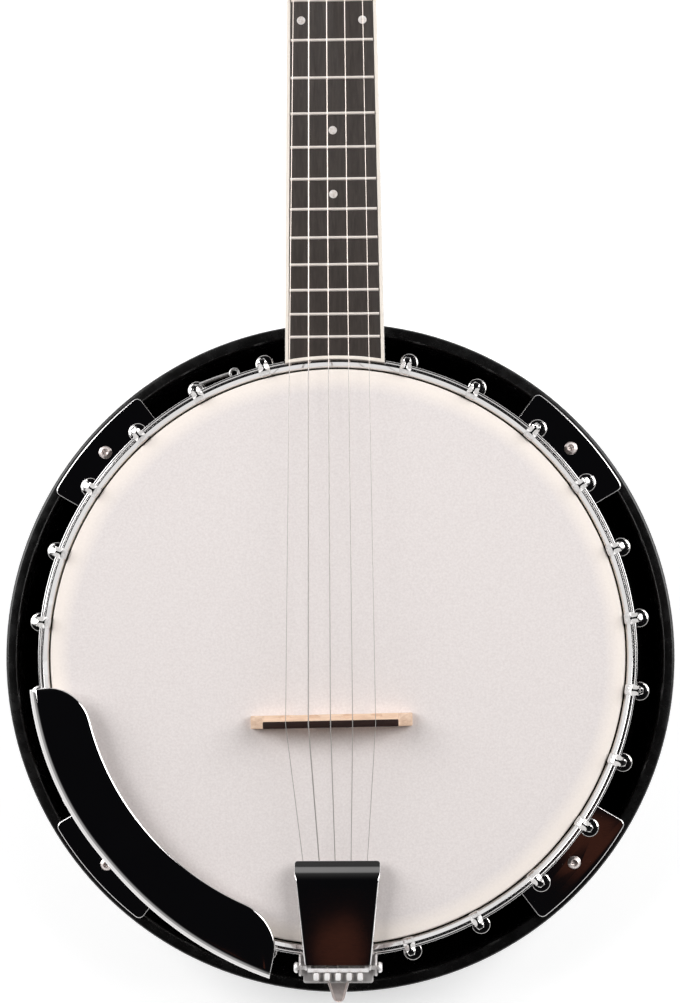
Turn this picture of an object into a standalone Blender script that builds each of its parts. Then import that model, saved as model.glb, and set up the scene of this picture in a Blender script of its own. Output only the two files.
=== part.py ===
"""A five-string banjo with a resonator, lying on its back.

Metres, +Z up. The resonator's flat back is on z = 0 and the head faces +Z. The pot's axis is the
Z axis, and +Y runs along the neck to the headstock. Angles about the pot are in degrees,
clockwise from the neck as the player's side shows them.
"""

import math

import bmesh
import bpy
from mathutils import Matrix, Vector

# Scale and strings
SCALE_LENGTH = 0.66675
BRIDGE_CENTRE = -0.0025
BRIDGE_HEIGHT = 0.0159
STRING_FALL = 3.0  # degrees that the strings fall from the bridge to the nut
NUT_ACTION = 0.0015  # string above the fretboard at the nut
TWELFTH_ACTION = 0.0040  # and at the twelfth fret
FRET_COUNT = 22
STRING_RADII = [0.000165, 0.00030, 0.00024, 0.000195, 0.00015]  # fifth to first
BRIDGE_SPREAD = [-0.0240, -0.0131, -0.0025, 0.0081, 0.0191]
NUT_SPREAD = [-0.0107, -0.0037, 0.0034, 0.0102]  # fourth to first
FIFTH_STRING_X = -0.0174  # at its own nut

# Clearance and facets
FIT = 0.0003
SIDES = 52  # two facets to each hook position
HOOK_POSITIONS = 26

# Resonator
RESONATOR_MARGIN = 0.0265  # beyond the rim
RESONATOR_HEIGHT = 0.058
RESONATOR_WALL = 0.006
RESONATOR_FLOOR = 0.005
RESONATOR_CORNER = 0.018
HEEL_NOTCH_WIDTH = 0.045
HEEL_NOTCH_BOTTOM = 0.034

# Rim and tone ring
RIM_RADIUS = 0.1385
RIM_WALL = 0.0165
RIM_BOTTOM = 0.014
RIM_HEIGHT = 0.058
TONE_RING_OVERHANG = 0.0008
TONE_RING_WIDTH = 0.0113
TONE_RING_HEIGHT = 0.010

# Head and tension hoop
HEAD_FILM = 0.0005
HEAD_CROWN = 0.0012
FLESH_HOOP = 0.0034
HOOP_CLEARANCE = 0.0004
HOOP_WIDTH = 0.0055
HOOP_HEIGHT = 0.0108
HOOP_RISE = 0.0011  # top of the hoop above the head
HOOP_GROOVE_OFFSET = 0.0024
HOOP_GROOVE_WIDTH = 0.0019
HOOP_GROOVE_DEPTH = 0.0012

# Tension hooks and shoes
HOOK_SHAFT_RADIUS = 0.0018
HOOK_WIDTH = 0.0053
HOOK_CLAW_HEIGHT = 0.0030
HOOK_NUT_RADIUS = 0.0045
HOOK_NUT_HEIGHT = 0.0095
SHOE_RADIUS = 0.0047
SHOE_HEIGHT = 0.012
SHOE_BOSS_WIDTH = 0.006

# Flange plates, their screws and the lugs in the resonator
PLATE_ANGLES = [48.5, 131.5, 228.5, 311.5]
PLATE_HALF_SPAN = 11.2
PLATE_INSET = 0.0027  # from the resonator's outer face
PLATE_THICKNESS = 0.002
PLATE_CORNER = 0.003
RESONATOR_SCREW_INSET = 0.006  # from the resonator's inner face
RESONATOR_SCREW_RADIUS = 0.002
RESONATOR_SCREW_HEAD_RADIUS = 0.0034
RESONATOR_SCREW_HEAD = 0.0024
LUG_WIDTH = 0.014
LUG_HEIGHT = 0.012
LUG_DEPTH = 0.009

# Coordinator rod
ROD_HEIGHT = 0.044
ROD_RADIUS = 0.00475
ROD_END_RADIUS = 0.003
ROD_NUT_RADIUS = 0.008
ROD_NUT_LENGTH = 0.007
ROD_IN_HEEL = 0.019

# Fretboard and neck
FRETBOARD_OVER_HOOP = 0.0021
LAST_FRET_MARGIN = 0.01078  # to the fretboard's end
FRETBOARD_THICKNESS = 0.006
BINDING_WIDTH = 0.0017
RIGHT_AT_NUT = 0.0156
RIGHT_AT_END = 0.0241
LEFT_AT_NUT = 0.0156
LEFT_ABOVE_SHOULDER = 0.0164
LEFT_BELOW_SHOULDER = 0.0216
LEFT_AT_END = 0.02415
SHOULDER_BEFORE_NUT = 0.007  # before the fifth string's nut
SHOULDER_LENGTH = 0.006
FRET_WIDTH = 0.002
FRET_CROWN = 0.001
NECK_SIDE = 0.002
NECK_DEPTH_AT_NUT = 0.0150
NECK_DEPTH_AT_HEEL = 0.0200
HEEL_LENGTH = 0.062
HEEL_DROP = 0.038
HEEL_CURVE = 1.5
TRUSS_ROD_RADIUS = 0.0025
TRUSS_ROD_END = 0.430
TRUSS_CHANNEL_DEPTH = 0.0075

# Nut and headstock
NUT_LENGTH = 0.005
NUT_RISE = 0.0023
FIFTH_NUT_BEFORE_FRET = 0.003252  # before the fifth fret
FIFTH_NUT_RADIUS = 0.0015
FIFTH_NUT_RISE = 0.0026
HEADSTOCK_ANGLE = 11.0
HEADSTOCK_STEP = 0.001  # overlay below the fretboard at the nut
HEADSTOCK_LENGTH = 0.160
HEADSTOCK_HALF_WIDTH = 0.0362
HEADSTOCK_THICKNESS = 0.0125
OVERLAY_THICKNESS = 0.0015
TRUSS_COVER_LENGTH = 0.036
TRUSS_COVER_THICKNESS = 0.002
TRUSS_POCKET_LENGTH = 0.022

# Headstock tuners
TUNER_LOWER_X = 0.0185
TUNER_UPPER_X = 0.0205
TUNER_HOUSING_WIDTH = 0.015
TUNER_HOUSING_LENGTH = 0.023
TUNER_HOUSING_HEIGHT = 0.0095
TUNER_BUSHING_RADIUS = 0.0049
TUNER_WASHER_RADIUS = 0.007
TUNER_WASHER = 0.0016
TUNER_POST_RADIUS = 0.003
TUNER_POST_WAIST = 0.0023
TUNER_POST_HEIGHT = 0.013
TUNER_WORM_OFFSET = 0.0085
TUNER_SHAFT_RADIUS = 0.002
TUNER_SHAFT_REACH = 0.0205
TUNER_BUTTON_RADIUS = 0.0082
TUNER_BUTTON_LENGTH = 0.0125
TUNER_BUTTON_FLATNESS = 0.55

# Fifth peg
FIFTH_PEG_BEFORE_NUT = 0.024
FIFTH_PEG_DEPTH = 0.0092
FIFTH_PEG_SHANK_RADIUS = 0.0025
FIFTH_PEG_SHANK = 0.011
FIFTH_PEG_FLANGE_RADIUS = 0.0055
FIFTH_PEG_SPINDLE_RADIUS = 0.0014
FIFTH_PEG_POST_RADIUS = 0.0041
FIFTH_PEG_POST_WAIST = 0.0036
FIFTH_PEG_POST_LENGTH = 0.0068
FIFTH_PEG_CASE_RADIUS = 0.0064
FIFTH_PEG_CASE_LENGTH = 0.011

# Bridge
BRIDGE_FOOT_SPAN = 0.078
BRIDGE_TOP_SPAN = 0.065
BRIDGE_FOOT_DEPTH = 0.0085
BRIDGE_TOP_DEPTH = 0.0034
BRIDGE_CAP_HEIGHT = 0.003
BRIDGE_ARCH_WIDTH = 0.0087
BRIDGE_ARCH_HEIGHT = 0.0082
BRIDGE_ARCH_SPACING = 0.029
BRIDGE_FOOT_HEIGHT = 0.0045
STRING_NOTCH_RADIUS = 0.0006

# Tailpiece
TAILPIECE_PIVOT_REACH = 0.0035  # beyond the hoop
TAILPIECE_PIVOT_RISE = 0.0059  # above the head, as the heights below
TAILPIECE_LENGTH = 0.0496  # from its pivot to its front
TAILPIECE_LIP_RADIUS = 0.003
TAILPIECE_COVER_FRONT = 0.0207  # half widths
TAILPIECE_COVER_REAR = 0.0159
TAILPIECE_COVER_WALL = 0.0012
TAILPIECE_COVER_RISE = 0.0094
TAILPIECE_BASE_RISE = 0.0019
TAILPIECE_BASE_THICKNESS = 0.0016
TAILPIECE_BASE_WIDTH = 0.0336
TAILPIECE_BASE_REAR = 0.0092  # behind the pivot
TAILPIECE_TONGUE_REACH = 0.0185
TAILPIECE_TONGUE_WIDTH = 0.0113
TAILPIECE_STRING_RISE = 0.0049
TAILPIECE_EAR_INSIDE = 0.0175
TAILPIECE_EAR_WIDTH = 0.0017
TAILPIECE_EAR_LENGTH = 0.0105
PRONG_SPACING = 0.0053
PRONG_WIDTH = 0.0028
PRONG_LENGTH = 0.0038
PRONG_HEIGHT = 0.0036
PRONG_REACH = 0.0062
PIVOT_SCREW_RADIUS = 0.0010
PIVOT_SCREW_HEAD_RADIUS = 0.0026
PIVOT_SCREW_HEAD = 0.0018
HANGER_WIDTH = 0.0113
HANGER_THICKNESS = 0.002

# Armrest
ARMREST_START = 192.0
ARMREST_END = 264.0
ARMREST_REACH = 0.0042  # beyond the hoop
ARMREST_WIDTH = 0.0265
ARMREST_FLARE_FROM = 230.0
ARMREST_FLARE = 0.0092
ARMREST_INNER_DRIFT = 0.0056
ARMREST_CORNER = 0.018
ARMREST_RISE = 0.0124  # above the head
ARMREST_LIP_DROP = 0.0045
ARMREST_THICKNESS = 0.0016
ARMREST_BRACKET_ANGLES = [214.6, 242.3]
ARMREST_BAR_GAP = 0.0017  # above the plates
ARMREST_BAR_HEIGHT = 0.005
ARMREST_BAR_THICKNESS = 0.0022
ARMREST_STRAP_WIDTH = 0.008
ARMREST_STRAP_THICKNESS = 0.0018
ARMREST_STRAP_DROP = 0.0065  # below the armrest's top
ARMREST_PAD_INSET = 0.009  # inside the hoop's outer face
ARMREST_PAD_LENGTH = 0.008
CLAMP_SCREW_RADIUS = 0.002

# Strap bracket
STRAP_BRACKET_HOOK = 24  # hook position that it grips
STRAP_BRACKET_SPAN = 8.2  # degrees to its eye
STRAP_BRACKET_GAP = 0.0027  # above the plates
STRAP_BRACKET_HEIGHT = 0.005
STRAP_COLLAR_RADIUS = 0.0037
STRAP_EYE_RADIUS = 0.0030

# Sizes that follow from those above
HOOK_STEP = 360 / HOOK_POSITIONS
HOOK_ANGLES = [HOOK_STEP * i for i in range(1, HOOK_POSITIONS) if i != HOOK_POSITIONS // 2]
RIM_INNER = RIM_RADIUS - RIM_WALL
RESONATOR_RADIUS = RIM_RADIUS + RESONATOR_MARGIN
RESONATOR_INNER = RESONATOR_RADIUS - RESONATOR_WALL
RIM_TOP = RIM_BOTTOM + RIM_HEIGHT
TONE_RING_RADIUS = RIM_RADIUS + TONE_RING_OVERHANG
TONE_RING_TOP = RIM_TOP + FIT + TONE_RING_HEIGHT
COLLAR_INNER = TONE_RING_RADIUS + FIT
COLLAR_OUTER = COLLAR_INNER + HEAD_FILM
HEAD_TOP = TONE_RING_TOP + FIT + HEAD_FILM
HOOP_INNER = COLLAR_OUTER + HOOP_CLEARANCE
HOOP_RADIUS = HOOP_INNER + HOOP_WIDTH
HOOP_TOP = HEAD_TOP + HOOP_RISE
HOOP_BOTTOM = HOOP_TOP - HOOP_HEIGHT
FLESH_TOP = HOOP_BOTTOM - FIT
FLESH_BOTTOM = FLESH_TOP - FLESH_HOOP
FLESH_RADIUS = COLLAR_INNER + FLESH_HOOP
HOOK_AT = HOOP_RADIUS + FIT + HOOK_SHAFT_RADIUS
HOOK_HOLE_RADIUS = HOOK_SHAFT_RADIUS + 2.2 * FIT
SHOE_TOP = RESONATOR_HEIGHT
SHOE_BOTTOM = SHOE_TOP - SHOE_HEIGHT
HOOK_NUT_TOP = SHOE_BOTTOM - FIT
PLATE_BOTTOM = SHOE_TOP + FIT
PLATE_TOP = PLATE_BOTTOM + PLATE_THICKNESS
PLATE_RADIUS = RESONATOR_RADIUS - PLATE_INSET
RESONATOR_SCREW_AT = RESONATOR_INNER - RESONATOR_SCREW_INSET
FRETBOARD_END_RADIUS = HOOP_RADIUS - FRETBOARD_OVER_HOOP
BRIDGE_TOP = HEAD_TOP + BRIDGE_HEIGHT
FALL = math.radians(STRING_FALL)
FRETS = [SCALE_LENGTH * (1 - 2 ** (-n / 12)) for n in range(FRET_COUNT + 1)]  # from the nut
NECK_TILT = FALL - math.atan((TWELFTH_ACTION - NUT_ACTION) / (SCALE_LENGTH / 2))
BOARD_LENGTH = FRETS[-1] + LAST_FRET_MARGIN
NUT_Y = FRETBOARD_END_RADIUS + BOARD_LENGTH * math.cos(NECK_TILT)
NUT_Z = BRIDGE_TOP - SCALE_LENGTH * math.sin(FALL) - NUT_ACTION
BRIDGE_Y = NUT_Y - SCALE_LENGTH * math.cos(FALL)
FIFTH_NUT_AT = FRETS[5] - FIFTH_NUT_BEFORE_FRET
FIFTH_PEG_AT = FIFTH_NUT_AT - FIFTH_PEG_BEFORE_NUT
SHOULDER_TOP = FIFTH_NUT_AT - SHOULDER_BEFORE_NUT
BOARD_BOTTOM = -FRETBOARD_THICKNESS - FIT
WOOD_TOP = -OVERLAY_THICKNESS - FIT  # of the headstock, under its overlay
WOOD_BACK = WOOD_TOP - HEADSTOCK_THICKNESS
WORM_DEPTH = WOOD_BACK - FIT - TUNER_HOUSING_HEIGHT / 2
TAILPIECE_PIVOT_Y = -HOOP_RADIUS - TAILPIECE_PIVOT_REACH
TAILPIECE_PIVOT_HEIGHT = HEAD_TOP + TAILPIECE_PIVOT_RISE
TAILPIECE_FRONT_Y = TAILPIECE_PIVOT_Y + TAILPIECE_LENGTH
TAILPIECE_COVER_TOP = HEAD_TOP + TAILPIECE_COVER_RISE
TAILPIECE_BASE_BOTTOM = HEAD_TOP + TAILPIECE_BASE_RISE
TAILPIECE_BASE_REAR_Y = TAILPIECE_PIVOT_Y - TAILPIECE_BASE_REAR
TAILPIECE_TONGUE_END_Y = TAILPIECE_PIVOT_Y - TAILPIECE_TONGUE_REACH
TAILPIECE_STRING_HEIGHT = HEAD_TOP + TAILPIECE_STRING_RISE
PRONG_Y = TAILPIECE_PIVOT_Y - PRONG_REACH
ARMREST_OUTER = HOOP_RADIUS + ARMREST_REACH
ARMREST_INNER = ARMREST_OUTER - ARMREST_WIDTH
ARMREST_HEIGHT = HEAD_TOP + ARMREST_RISE
ARMREST_BAR_BOTTOM = PLATE_TOP + ARMREST_BAR_GAP
ARMREST_STRAP_TOP = ARMREST_HEIGHT - ARMREST_STRAP_DROP
ARMREST_PAD_AT = HOOP_RADIUS - ARMREST_PAD_INSET
STRAP_BRACKET_BOTTOM = PLATE_TOP + STRAP_BRACKET_GAP

# A hook meets the middle of a facet.
POT_TURN = (0, 0, math.pi / SIDES)

# The neck's own frame: its origin is on the fretboard's face at the nut's front edge, +Y points to the
# headstock and +Z away from the fretboard. The headstock's frame starts behind the nut.
NECK = Matrix.Translation((0, NUT_Y, NUT_Z)) @ Matrix.Rotation(-NECK_TILT, 4, "X")
HEADSTOCK_START = (0, NUT_LENGTH + FIT, -HEADSTOCK_STEP)
HEADSTOCK_TILT = -math.radians(HEADSTOCK_ANGLE)
HEADSTOCK = NECK @ Matrix.Translation(HEADSTOCK_START) @ Matrix.Rotation(HEADSTOCK_TILT, 4, "X")

for old in list(bpy.data.objects):
    bpy.data.objects.remove(old)

BANJO = bpy.data.collections.new("banjo")
CUTTERS = bpy.data.collections.new("cutters")
bpy.context.scene.collection.children.link(BANJO)
bpy.context.scene.collection.children.link(CUTTERS)


# Materials
def material(name, color, roughness, metallic=0.0):
    made = bpy.data.materials.new(name)
    made.use_nodes = True
    shader = made.node_tree.nodes["Principled BSDF"]
    shader.inputs["Base Color"].default_value = (*color, 1)
    shader.inputs["Roughness"].default_value = roughness
    shader.inputs["Metallic"].default_value = metallic
    made.diffuse_color = (*color, 1)
    return made


BLACK_LACQUER = material("black lacquer", (0.006, 0.006, 0.006), 0.08)
MAPLE = material("maple", (0.68, 0.45, 0.27), 0.35)
CAP_WOOD = material("bridge cap", (0.10, 0.05, 0.03), 0.4)
FRETBOARD_WOOD = material("fretboard", (0.055, 0.042, 0.036), 0.45)
CREAM = material("cream binding", (0.90, 0.80, 0.60), 0.25)
BONE = material("nut", (0.86, 0.82, 0.72), 0.35)
HEAD_PLASTIC = material("head", (0.84, 0.78, 0.75), 0.6)
CHROME = material("chrome", (0.80, 0.80, 0.81), 0.05, 1.0)
STEEL = material("string steel", (0.62, 0.61, 0.60), 0.25, 1.0)
BRASS = material("tone ring brass", (0.75, 0.62, 0.35), 0.3, 1.0)
PEARL = material("tuner button", (0.85, 0.82, 0.76), 0.25)


# Building helpers
def pot(radius, angle, z=0.0):
    """A point about the pot's axis."""
    turn = math.radians(angle)
    return Vector((radius * math.sin(turn), radius * math.cos(turn), z))


def arc(centre, radius, start, end, steps):
    """Points on an arc, with angles in degrees anticlockwise from the first axis."""
    angles = [math.radians(start + (end - start) * i / steps) for i in range(steps + 1)]
    return [(centre[0] + radius * math.cos(a), centre[1] + radius * math.sin(a)) for a in angles]


def add(name, data, paint=None, frame=None, location=(0, 0, 0), rotation=(0, 0, 0)):
    """A part, or a helper when it has no material."""
    made = bpy.data.objects.new(name, data)
    made.parent = frame
    made.location = location
    made.rotation_euler = rotation
    if paint:
        data.materials.append(paint)
        BANJO.objects.link(made)
    else:
        made.hide_render = True
        made.display_type = "WIRE"
        CUTTERS.objects.link(made)
    return made


def frame_empty(name, location=(0, 0, 0), rotation=(0, 0, 0), frame=None):
    made = bpy.data.objects.new(name, None)
    made.parent = frame
    made.location = location
    made.rotation_euler = rotation
    BANJO.objects.link(made)
    return made


def mesh_from(bm, smooth=40):
    """A mesh of bm with its faces outwards, smooth but for edges sharper than the angle."""
    bmesh.ops.remove_doubles(bm, verts=bm.verts, dist=1e-6)
    bmesh.ops.recalc_face_normals(bm, faces=bm.faces)
    mesh = bpy.data.meshes.new("shape")
    bm.to_mesh(mesh)
    bm.free()
    mesh.shade_smooth()
    mesh.set_sharp_from_angle(angle=math.radians(smooth))
    return mesh


def from_curve(curve):
    """The mesh of a curve, with its caps welded and their flat faces merged."""
    holder = add("holder", curve)
    graph = bpy.context.evaluated_depsgraph_get()
    made = bpy.data.meshes.new_from_object(holder.evaluated_get(graph))
    bpy.data.objects.remove(holder)
    bpy.data.curves.remove(curve)
    bm = bmesh.new()
    bm.from_mesh(made)
    bpy.data.meshes.remove(made)
    bmesh.ops.remove_doubles(bm, verts=bm.verts, dist=1e-6)
    bmesh.ops.dissolve_limit(bm, angle_limit=math.radians(0.1), verts=bm.verts, edges=bm.edges)
    return mesh_from(bm)


def slab(outlines, low, high):
    """A flat outline, with its holes after it, drawn in X and Y and standing from low to high in Z."""
    curve = bpy.data.curves.new("outline", "CURVE")
    curve.dimensions = "2D"
    curve.fill_mode = "BOTH"
    curve.extrude = (high - low) / 2
    for outline in outlines:
        spline = curve.splines.new("POLY")
        spline.points.add(len(outline) - 1)
        for point, (x, y) in zip(spline.points, outline):
            point.co = (x, y, 0, 1)
        spline.use_cyclic_u = True
    mesh = from_curve(curve)
    mesh.transform(Matrix.Translation((0, 0, (low + high) / 2)))
    return mesh


def front_slab(outline, low, high):
    """An outline drawn in X and Z, standing from low to high in Y."""
    mesh = slab([outline], -high, -low)
    mesh.transform(Matrix.Rotation(math.pi / 2, 4, "X"))
    return mesh


def side_slab(outline, width):
    """An outline drawn in Y and Z, standing from -width / 2 to width / 2 in X."""
    mesh = slab([outline], -width / 2, width / 2)
    mesh.transform(Matrix(((0, 0, 1, 0), (1, 0, 0, 0), (0, 1, 0, 0), (0, 0, 0, 1))))
    return mesh


def block(low, high):
    """A box between two corners."""
    bm = bmesh.new()
    size = [b - a for a, b in zip(low, high)]
    middle = [(a + b) / 2 for a, b in zip(low, high)]
    bmesh.ops.create_cube(bm, size=1)
    bmesh.ops.scale(bm, vec=size, verts=bm.verts)
    bmesh.ops.translate(bm, vec=middle, verts=bm.verts)
    return mesh_from(bm)


def rod(radius, low, high, sides, at=(0, 0), axis="Z"):
    """A cylinder from low to high along an axis. It crosses the plane of the other two at the given place."""
    bm = bmesh.new()
    bmesh.ops.create_cone(
        bm, cap_ends=True, segments=sides, radius1=radius, radius2=radius, depth=high - low
    )
    bmesh.ops.rotate(bm, verts=bm.verts, matrix=Matrix.Rotation(math.pi / sides, 3, "Z"))
    bmesh.ops.translate(bm, verts=bm.verts, vec=(0, 0, (low + high) / 2))
    if axis == "Z":
        bmesh.ops.translate(bm, verts=bm.verts, vec=(*at, 0))
    elif axis == "X":
        bmesh.ops.rotate(bm, verts=bm.verts, matrix=Matrix.Rotation(math.pi / 2, 3, "Y"))
        bmesh.ops.translate(bm, verts=bm.verts, vec=(0, *at))
    else:
        bmesh.ops.rotate(bm, verts=bm.verts, matrix=Matrix.Rotation(-math.pi / 2, 3, "X"))
        bmesh.ops.translate(bm, verts=bm.verts, vec=(at[0], 0, at[1]))
    return mesh_from(bm)


def outline_mesh(profile, closed):
    count = len(profile)
    edges = [(i, (i + 1) % count) for i in range(count if closed else count - 1)]
    mesh = bpy.data.meshes.new("profile")
    mesh.from_pydata([(radius, 0, z) for radius, z in profile], edges, [])
    return mesh


def turned(name, profile, paint=None, sides=SIDES, closed=True, **place):
    """A turned piece about local Z. The profile of (radius, z) runs down its outer side."""
    made = add(name, outline_mesh(profile, closed), paint, **place)
    screw = made.modifiers.new("turn", "SCREW")
    screw.steps = screw.render_steps = sides
    screw.use_merge_vertices = True
    screw.merge_threshold = 0.00001
    return made


def boolean(target, tool, operation):
    made = target.modifiers.new(operation.lower(), "BOOLEAN")
    made.operation = operation
    made.object = tool


def join(target, mesh, **place):
    boolean(target, add(target.name + "_add", mesh, **place), "UNION")


def cut(target, mesh, **place):
    boolean(target, add(target.name + "_cut", mesh, **place), "DIFFERENCE")


def around(mesh, angles):
    """One mesh with a copy of a mesh made at the neck, turned to each angle about the pot's axis."""
    bm = bmesh.new()
    for angle in angles:
        copy = mesh.copy()
        copy.transform(Matrix.Rotation(-math.radians(angle), 4, "Z"))
        bm.from_mesh(copy)
        bpy.data.meshes.remove(copy)
    return mesh_from(bm)


def together(meshes):
    """Meshes that don't touch, as one helper."""
    bm = bmesh.new()
    for mesh in meshes:
        bm.from_mesh(mesh)
    return mesh_from(bm)


def sector(inner, outer, start, end, steps):
    """The outline of a stretch of ring."""
    angles = [start + (end - start) * i / steps for i in range(steps + 1)]
    return [tuple(pot(outer, a)[:2]) for a in angles] + [tuple(pot(inner, a)[:2]) for a in reversed(angles)]


def circle(centre, radius, sides=8):
    half = 180 / sides
    return arc(centre, radius, half, 360 - half, sides - 1)


# The fretboard's edges, at a distance from the nut
def right_edge(along):
    return RIGHT_AT_NUT + (RIGHT_AT_END - RIGHT_AT_NUT) * along / BOARD_LENGTH


def left_edge(along):
    if along <= SHOULDER_TOP:
        return LEFT_AT_NUT + (LEFT_ABOVE_SHOULDER - LEFT_AT_NUT) * along / SHOULDER_TOP
    wide_from = SHOULDER_TOP + SHOULDER_LENGTH
    if along < wide_from:
        part = (along - SHOULDER_TOP) / SHOULDER_LENGTH
        return LEFT_ABOVE_SHOULDER + (LEFT_BELOW_SHOULDER - LEFT_ABOVE_SHOULDER) * (3 - 2 * part) * part**2
    part = (along - wide_from) / (BOARD_LENGTH - wide_from)
    return LEFT_BELOW_SHOULDER + (LEFT_AT_END - LEFT_BELOW_SHOULDER) * part


def end_line(x, inset):
    """Where the fretboard's end, which follows the hoop, lies across the board."""
    reach = math.sqrt((FRETBOARD_END_RADIUS + inset) ** 2 - x**2)
    return (reach - NUT_Y) / math.cos(NECK_TILT)


SHOULDER = [SHOULDER_TOP + SHOULDER_LENGTH * part for part in (1, 0.75, 0.5, 0.25, 0)]


def board_path(inset):
    """From the nut down the right side, round the end and up the left side to the nut."""
    right = right_edge(BOARD_LENGTH) - inset
    left = -left_edge(BOARD_LENGTH) + inset
    steps = 8
    end = [right + (left - right) * i / steps for i in range(steps + 1)]
    path = [(right_edge(0) - inset, 0)]
    path += [(x, end_line(x, inset)) for x in end]
    path += [(-left_edge(along) + inset, -along) for along in SHOULDER]
    return path + [(-left_edge(0) + inset, 0)]


neck_frame = frame_empty("neck_frame", (0, NUT_Y, NUT_Z), (-NECK_TILT, 0, 0))
headstock_frame = frame_empty("headstock_frame", HEADSTOCK_START, (HEADSTOCK_TILT, 0, 0), neck_frame)


# Rim, with its shoes
def make_rim():
    rim = turned(
        "rim",
        [(RIM_RADIUS, RIM_TOP), (RIM_RADIUS, RIM_BOTTOM), (RIM_INNER, RIM_BOTTOM), (RIM_INNER, RIM_TOP)],
        MAPLE,
        rotation=POT_TURN,
    )
    half = SHOE_BOSS_WIDTH / 2
    boss_start = RIM_RADIUS - 0.001
    round_part = arc((0, HOOK_AT), SHOE_RADIUS, -48, 228, 6)
    outline = [(half, boss_start), *round_part, (-half, boss_start)]
    shoe = slab([outline, circle((0, HOOK_AT), HOOK_HOLE_RADIUS, 6)], SHOE_BOTTOM, SHOE_TOP)
    join(rim, around(shoe, HOOK_ANGLES))
    reach = RIM_RADIUS + 0.001
    cut(rim, rod(ROD_END_RADIUS + 2 * FIT, -reach, reach, 8, (0, ROD_HEIGHT), "Y"))


def make_tone_ring():
    inner = TONE_RING_RADIUS - TONE_RING_WIDTH
    bottom = RIM_TOP + FIT
    turned(
        "tone_ring",
        [
            (TONE_RING_RADIUS, TONE_RING_TOP),
            (TONE_RING_RADIUS, bottom),
            (inner, bottom),
            (inner, bottom + 0.004),
            (TONE_RING_RADIUS - 0.004, TONE_RING_TOP),
        ],
        BRASS,
        rotation=POT_TURN,
    )


# Head: the film, its crown and the flesh hoop that it is cast into
def make_head():
    crown = HEAD_TOP - HEAD_CROWN
    under = HEAD_TOP - HEAD_FILM
    turned(
        "head",
        [
            (0, HEAD_TOP),
            (COLLAR_OUTER - HEAD_CROWN, HEAD_TOP),
            (COLLAR_OUTER, crown),
            (COLLAR_OUTER, FLESH_TOP),
            (FLESH_RADIUS, FLESH_TOP),
            (FLESH_RADIUS, FLESH_BOTTOM),
            (COLLAR_INNER, FLESH_BOTTOM),
            (COLLAR_INNER, under),
            (0, under),
        ],
        HEAD_PLASTIC,
        closed=False,
        rotation=POT_TURN,
    )


# Tension hoop with its groove, notched under the fretboard, and the hooks and nuts that pull it down
def make_tension_hoop():
    groove = HOOP_INNER + HOOP_GROOVE_OFFSET
    hoop = turned(
        "tension_hoop",
        [
            (groove + HOOP_GROOVE_WIDTH, HOOP_TOP),
            (HOOP_RADIUS, HOOP_TOP),
            (HOOP_RADIUS, HOOP_BOTTOM),
            (HOOP_INNER, HOOP_BOTTOM),
            (HOOP_INNER, HOOP_TOP),
            (groove, HOOP_TOP),
            (groove + HOOP_GROOVE_WIDTH / 2, HOOP_TOP - HOOP_GROOVE_DEPTH),
        ],
        CHROME,
        rotation=POT_TURN,
    )
    board_end = NECK @ Vector((0, end_line(0, 0), BOARD_BOTTOM))
    notch = board_end.z - 2 * FIT
    left = -left_edge(BOARD_LENGTH) - 2 * FIT
    right = right_edge(BOARD_LENGTH) + 2 * FIT
    cut(hoop, block((left, HOOP_INNER - 0.01, notch), (right, HOOP_RADIUS + 0.01, HOOP_TOP + 0.01)))

    claw_top = HOOP_TOP + HOOK_CLAW_HEIGHT
    claw_bottom = HOOP_TOP - 0.0005
    tip = HOOP_INNER + 0.0006
    back = HOOK_AT + HOOK_SHAFT_RADIUS
    lip = groove + HOOP_GROOVE_WIDTH + 0.0002
    claw = side_slab(
        [
            (tip, HOOP_TOP + FIT),
            (lip, HOOP_TOP + FIT),
            (lip, claw_bottom),
            (back, claw_bottom),
            (back, claw_top - 0.0012),
            (back - 0.0012, claw_top),
            (tip + 0.0014, claw_top),
        ],
        HOOK_WIDTH,
    )
    shaft = rod(HOOK_SHAFT_RADIUS, HOOK_NUT_TOP - 0.001, HOOP_TOP + 0.0006, 6, (0, HOOK_AT))
    nut = rod(HOOK_NUT_RADIUS, HOOK_NUT_TOP - HOOK_NUT_HEIGHT, HOOK_NUT_TOP, 6, (0, HOOK_AT))
    for piece in (claw, shaft, nut):
        join(hoop, around(piece, HOOK_ANGLES))


# Resonator, notched for the heel, with a lug inside it for each screw
def make_resonator():
    corner = (RESONATOR_RADIUS - RESONATOR_CORNER, RESONATOR_CORNER)
    inner_radius = RESONATOR_CORNER - RESONATOR_WALL
    inside = (RESONATOR_INNER - inner_radius, RESONATOR_FLOOR + inner_radius)
    profile = [(0, RESONATOR_FLOOR)]
    profile += arc(inside, inner_radius, -90, 0, 3)
    profile += [(RESONATOR_INNER, RESONATOR_HEIGHT), (RESONATOR_RADIUS, RESONATOR_HEIGHT)]
    profile += arc(corner, RESONATOR_CORNER, 0, -90, 4)
    profile += [(0, 0)]
    resonator = turned("resonator", profile, BLACK_LACQUER, closed=False, rotation=POT_TURN)
    half = HEEL_NOTCH_WIDTH / 2
    cut(
        resonator,
        block(
            (-half, RESONATOR_INNER - 0.01, HEEL_NOTCH_BOTTOM),
            (half, RESONATOR_RADIUS + 0.01, RESONATOR_HEIGHT + 0.01),
        ),
    )


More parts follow.
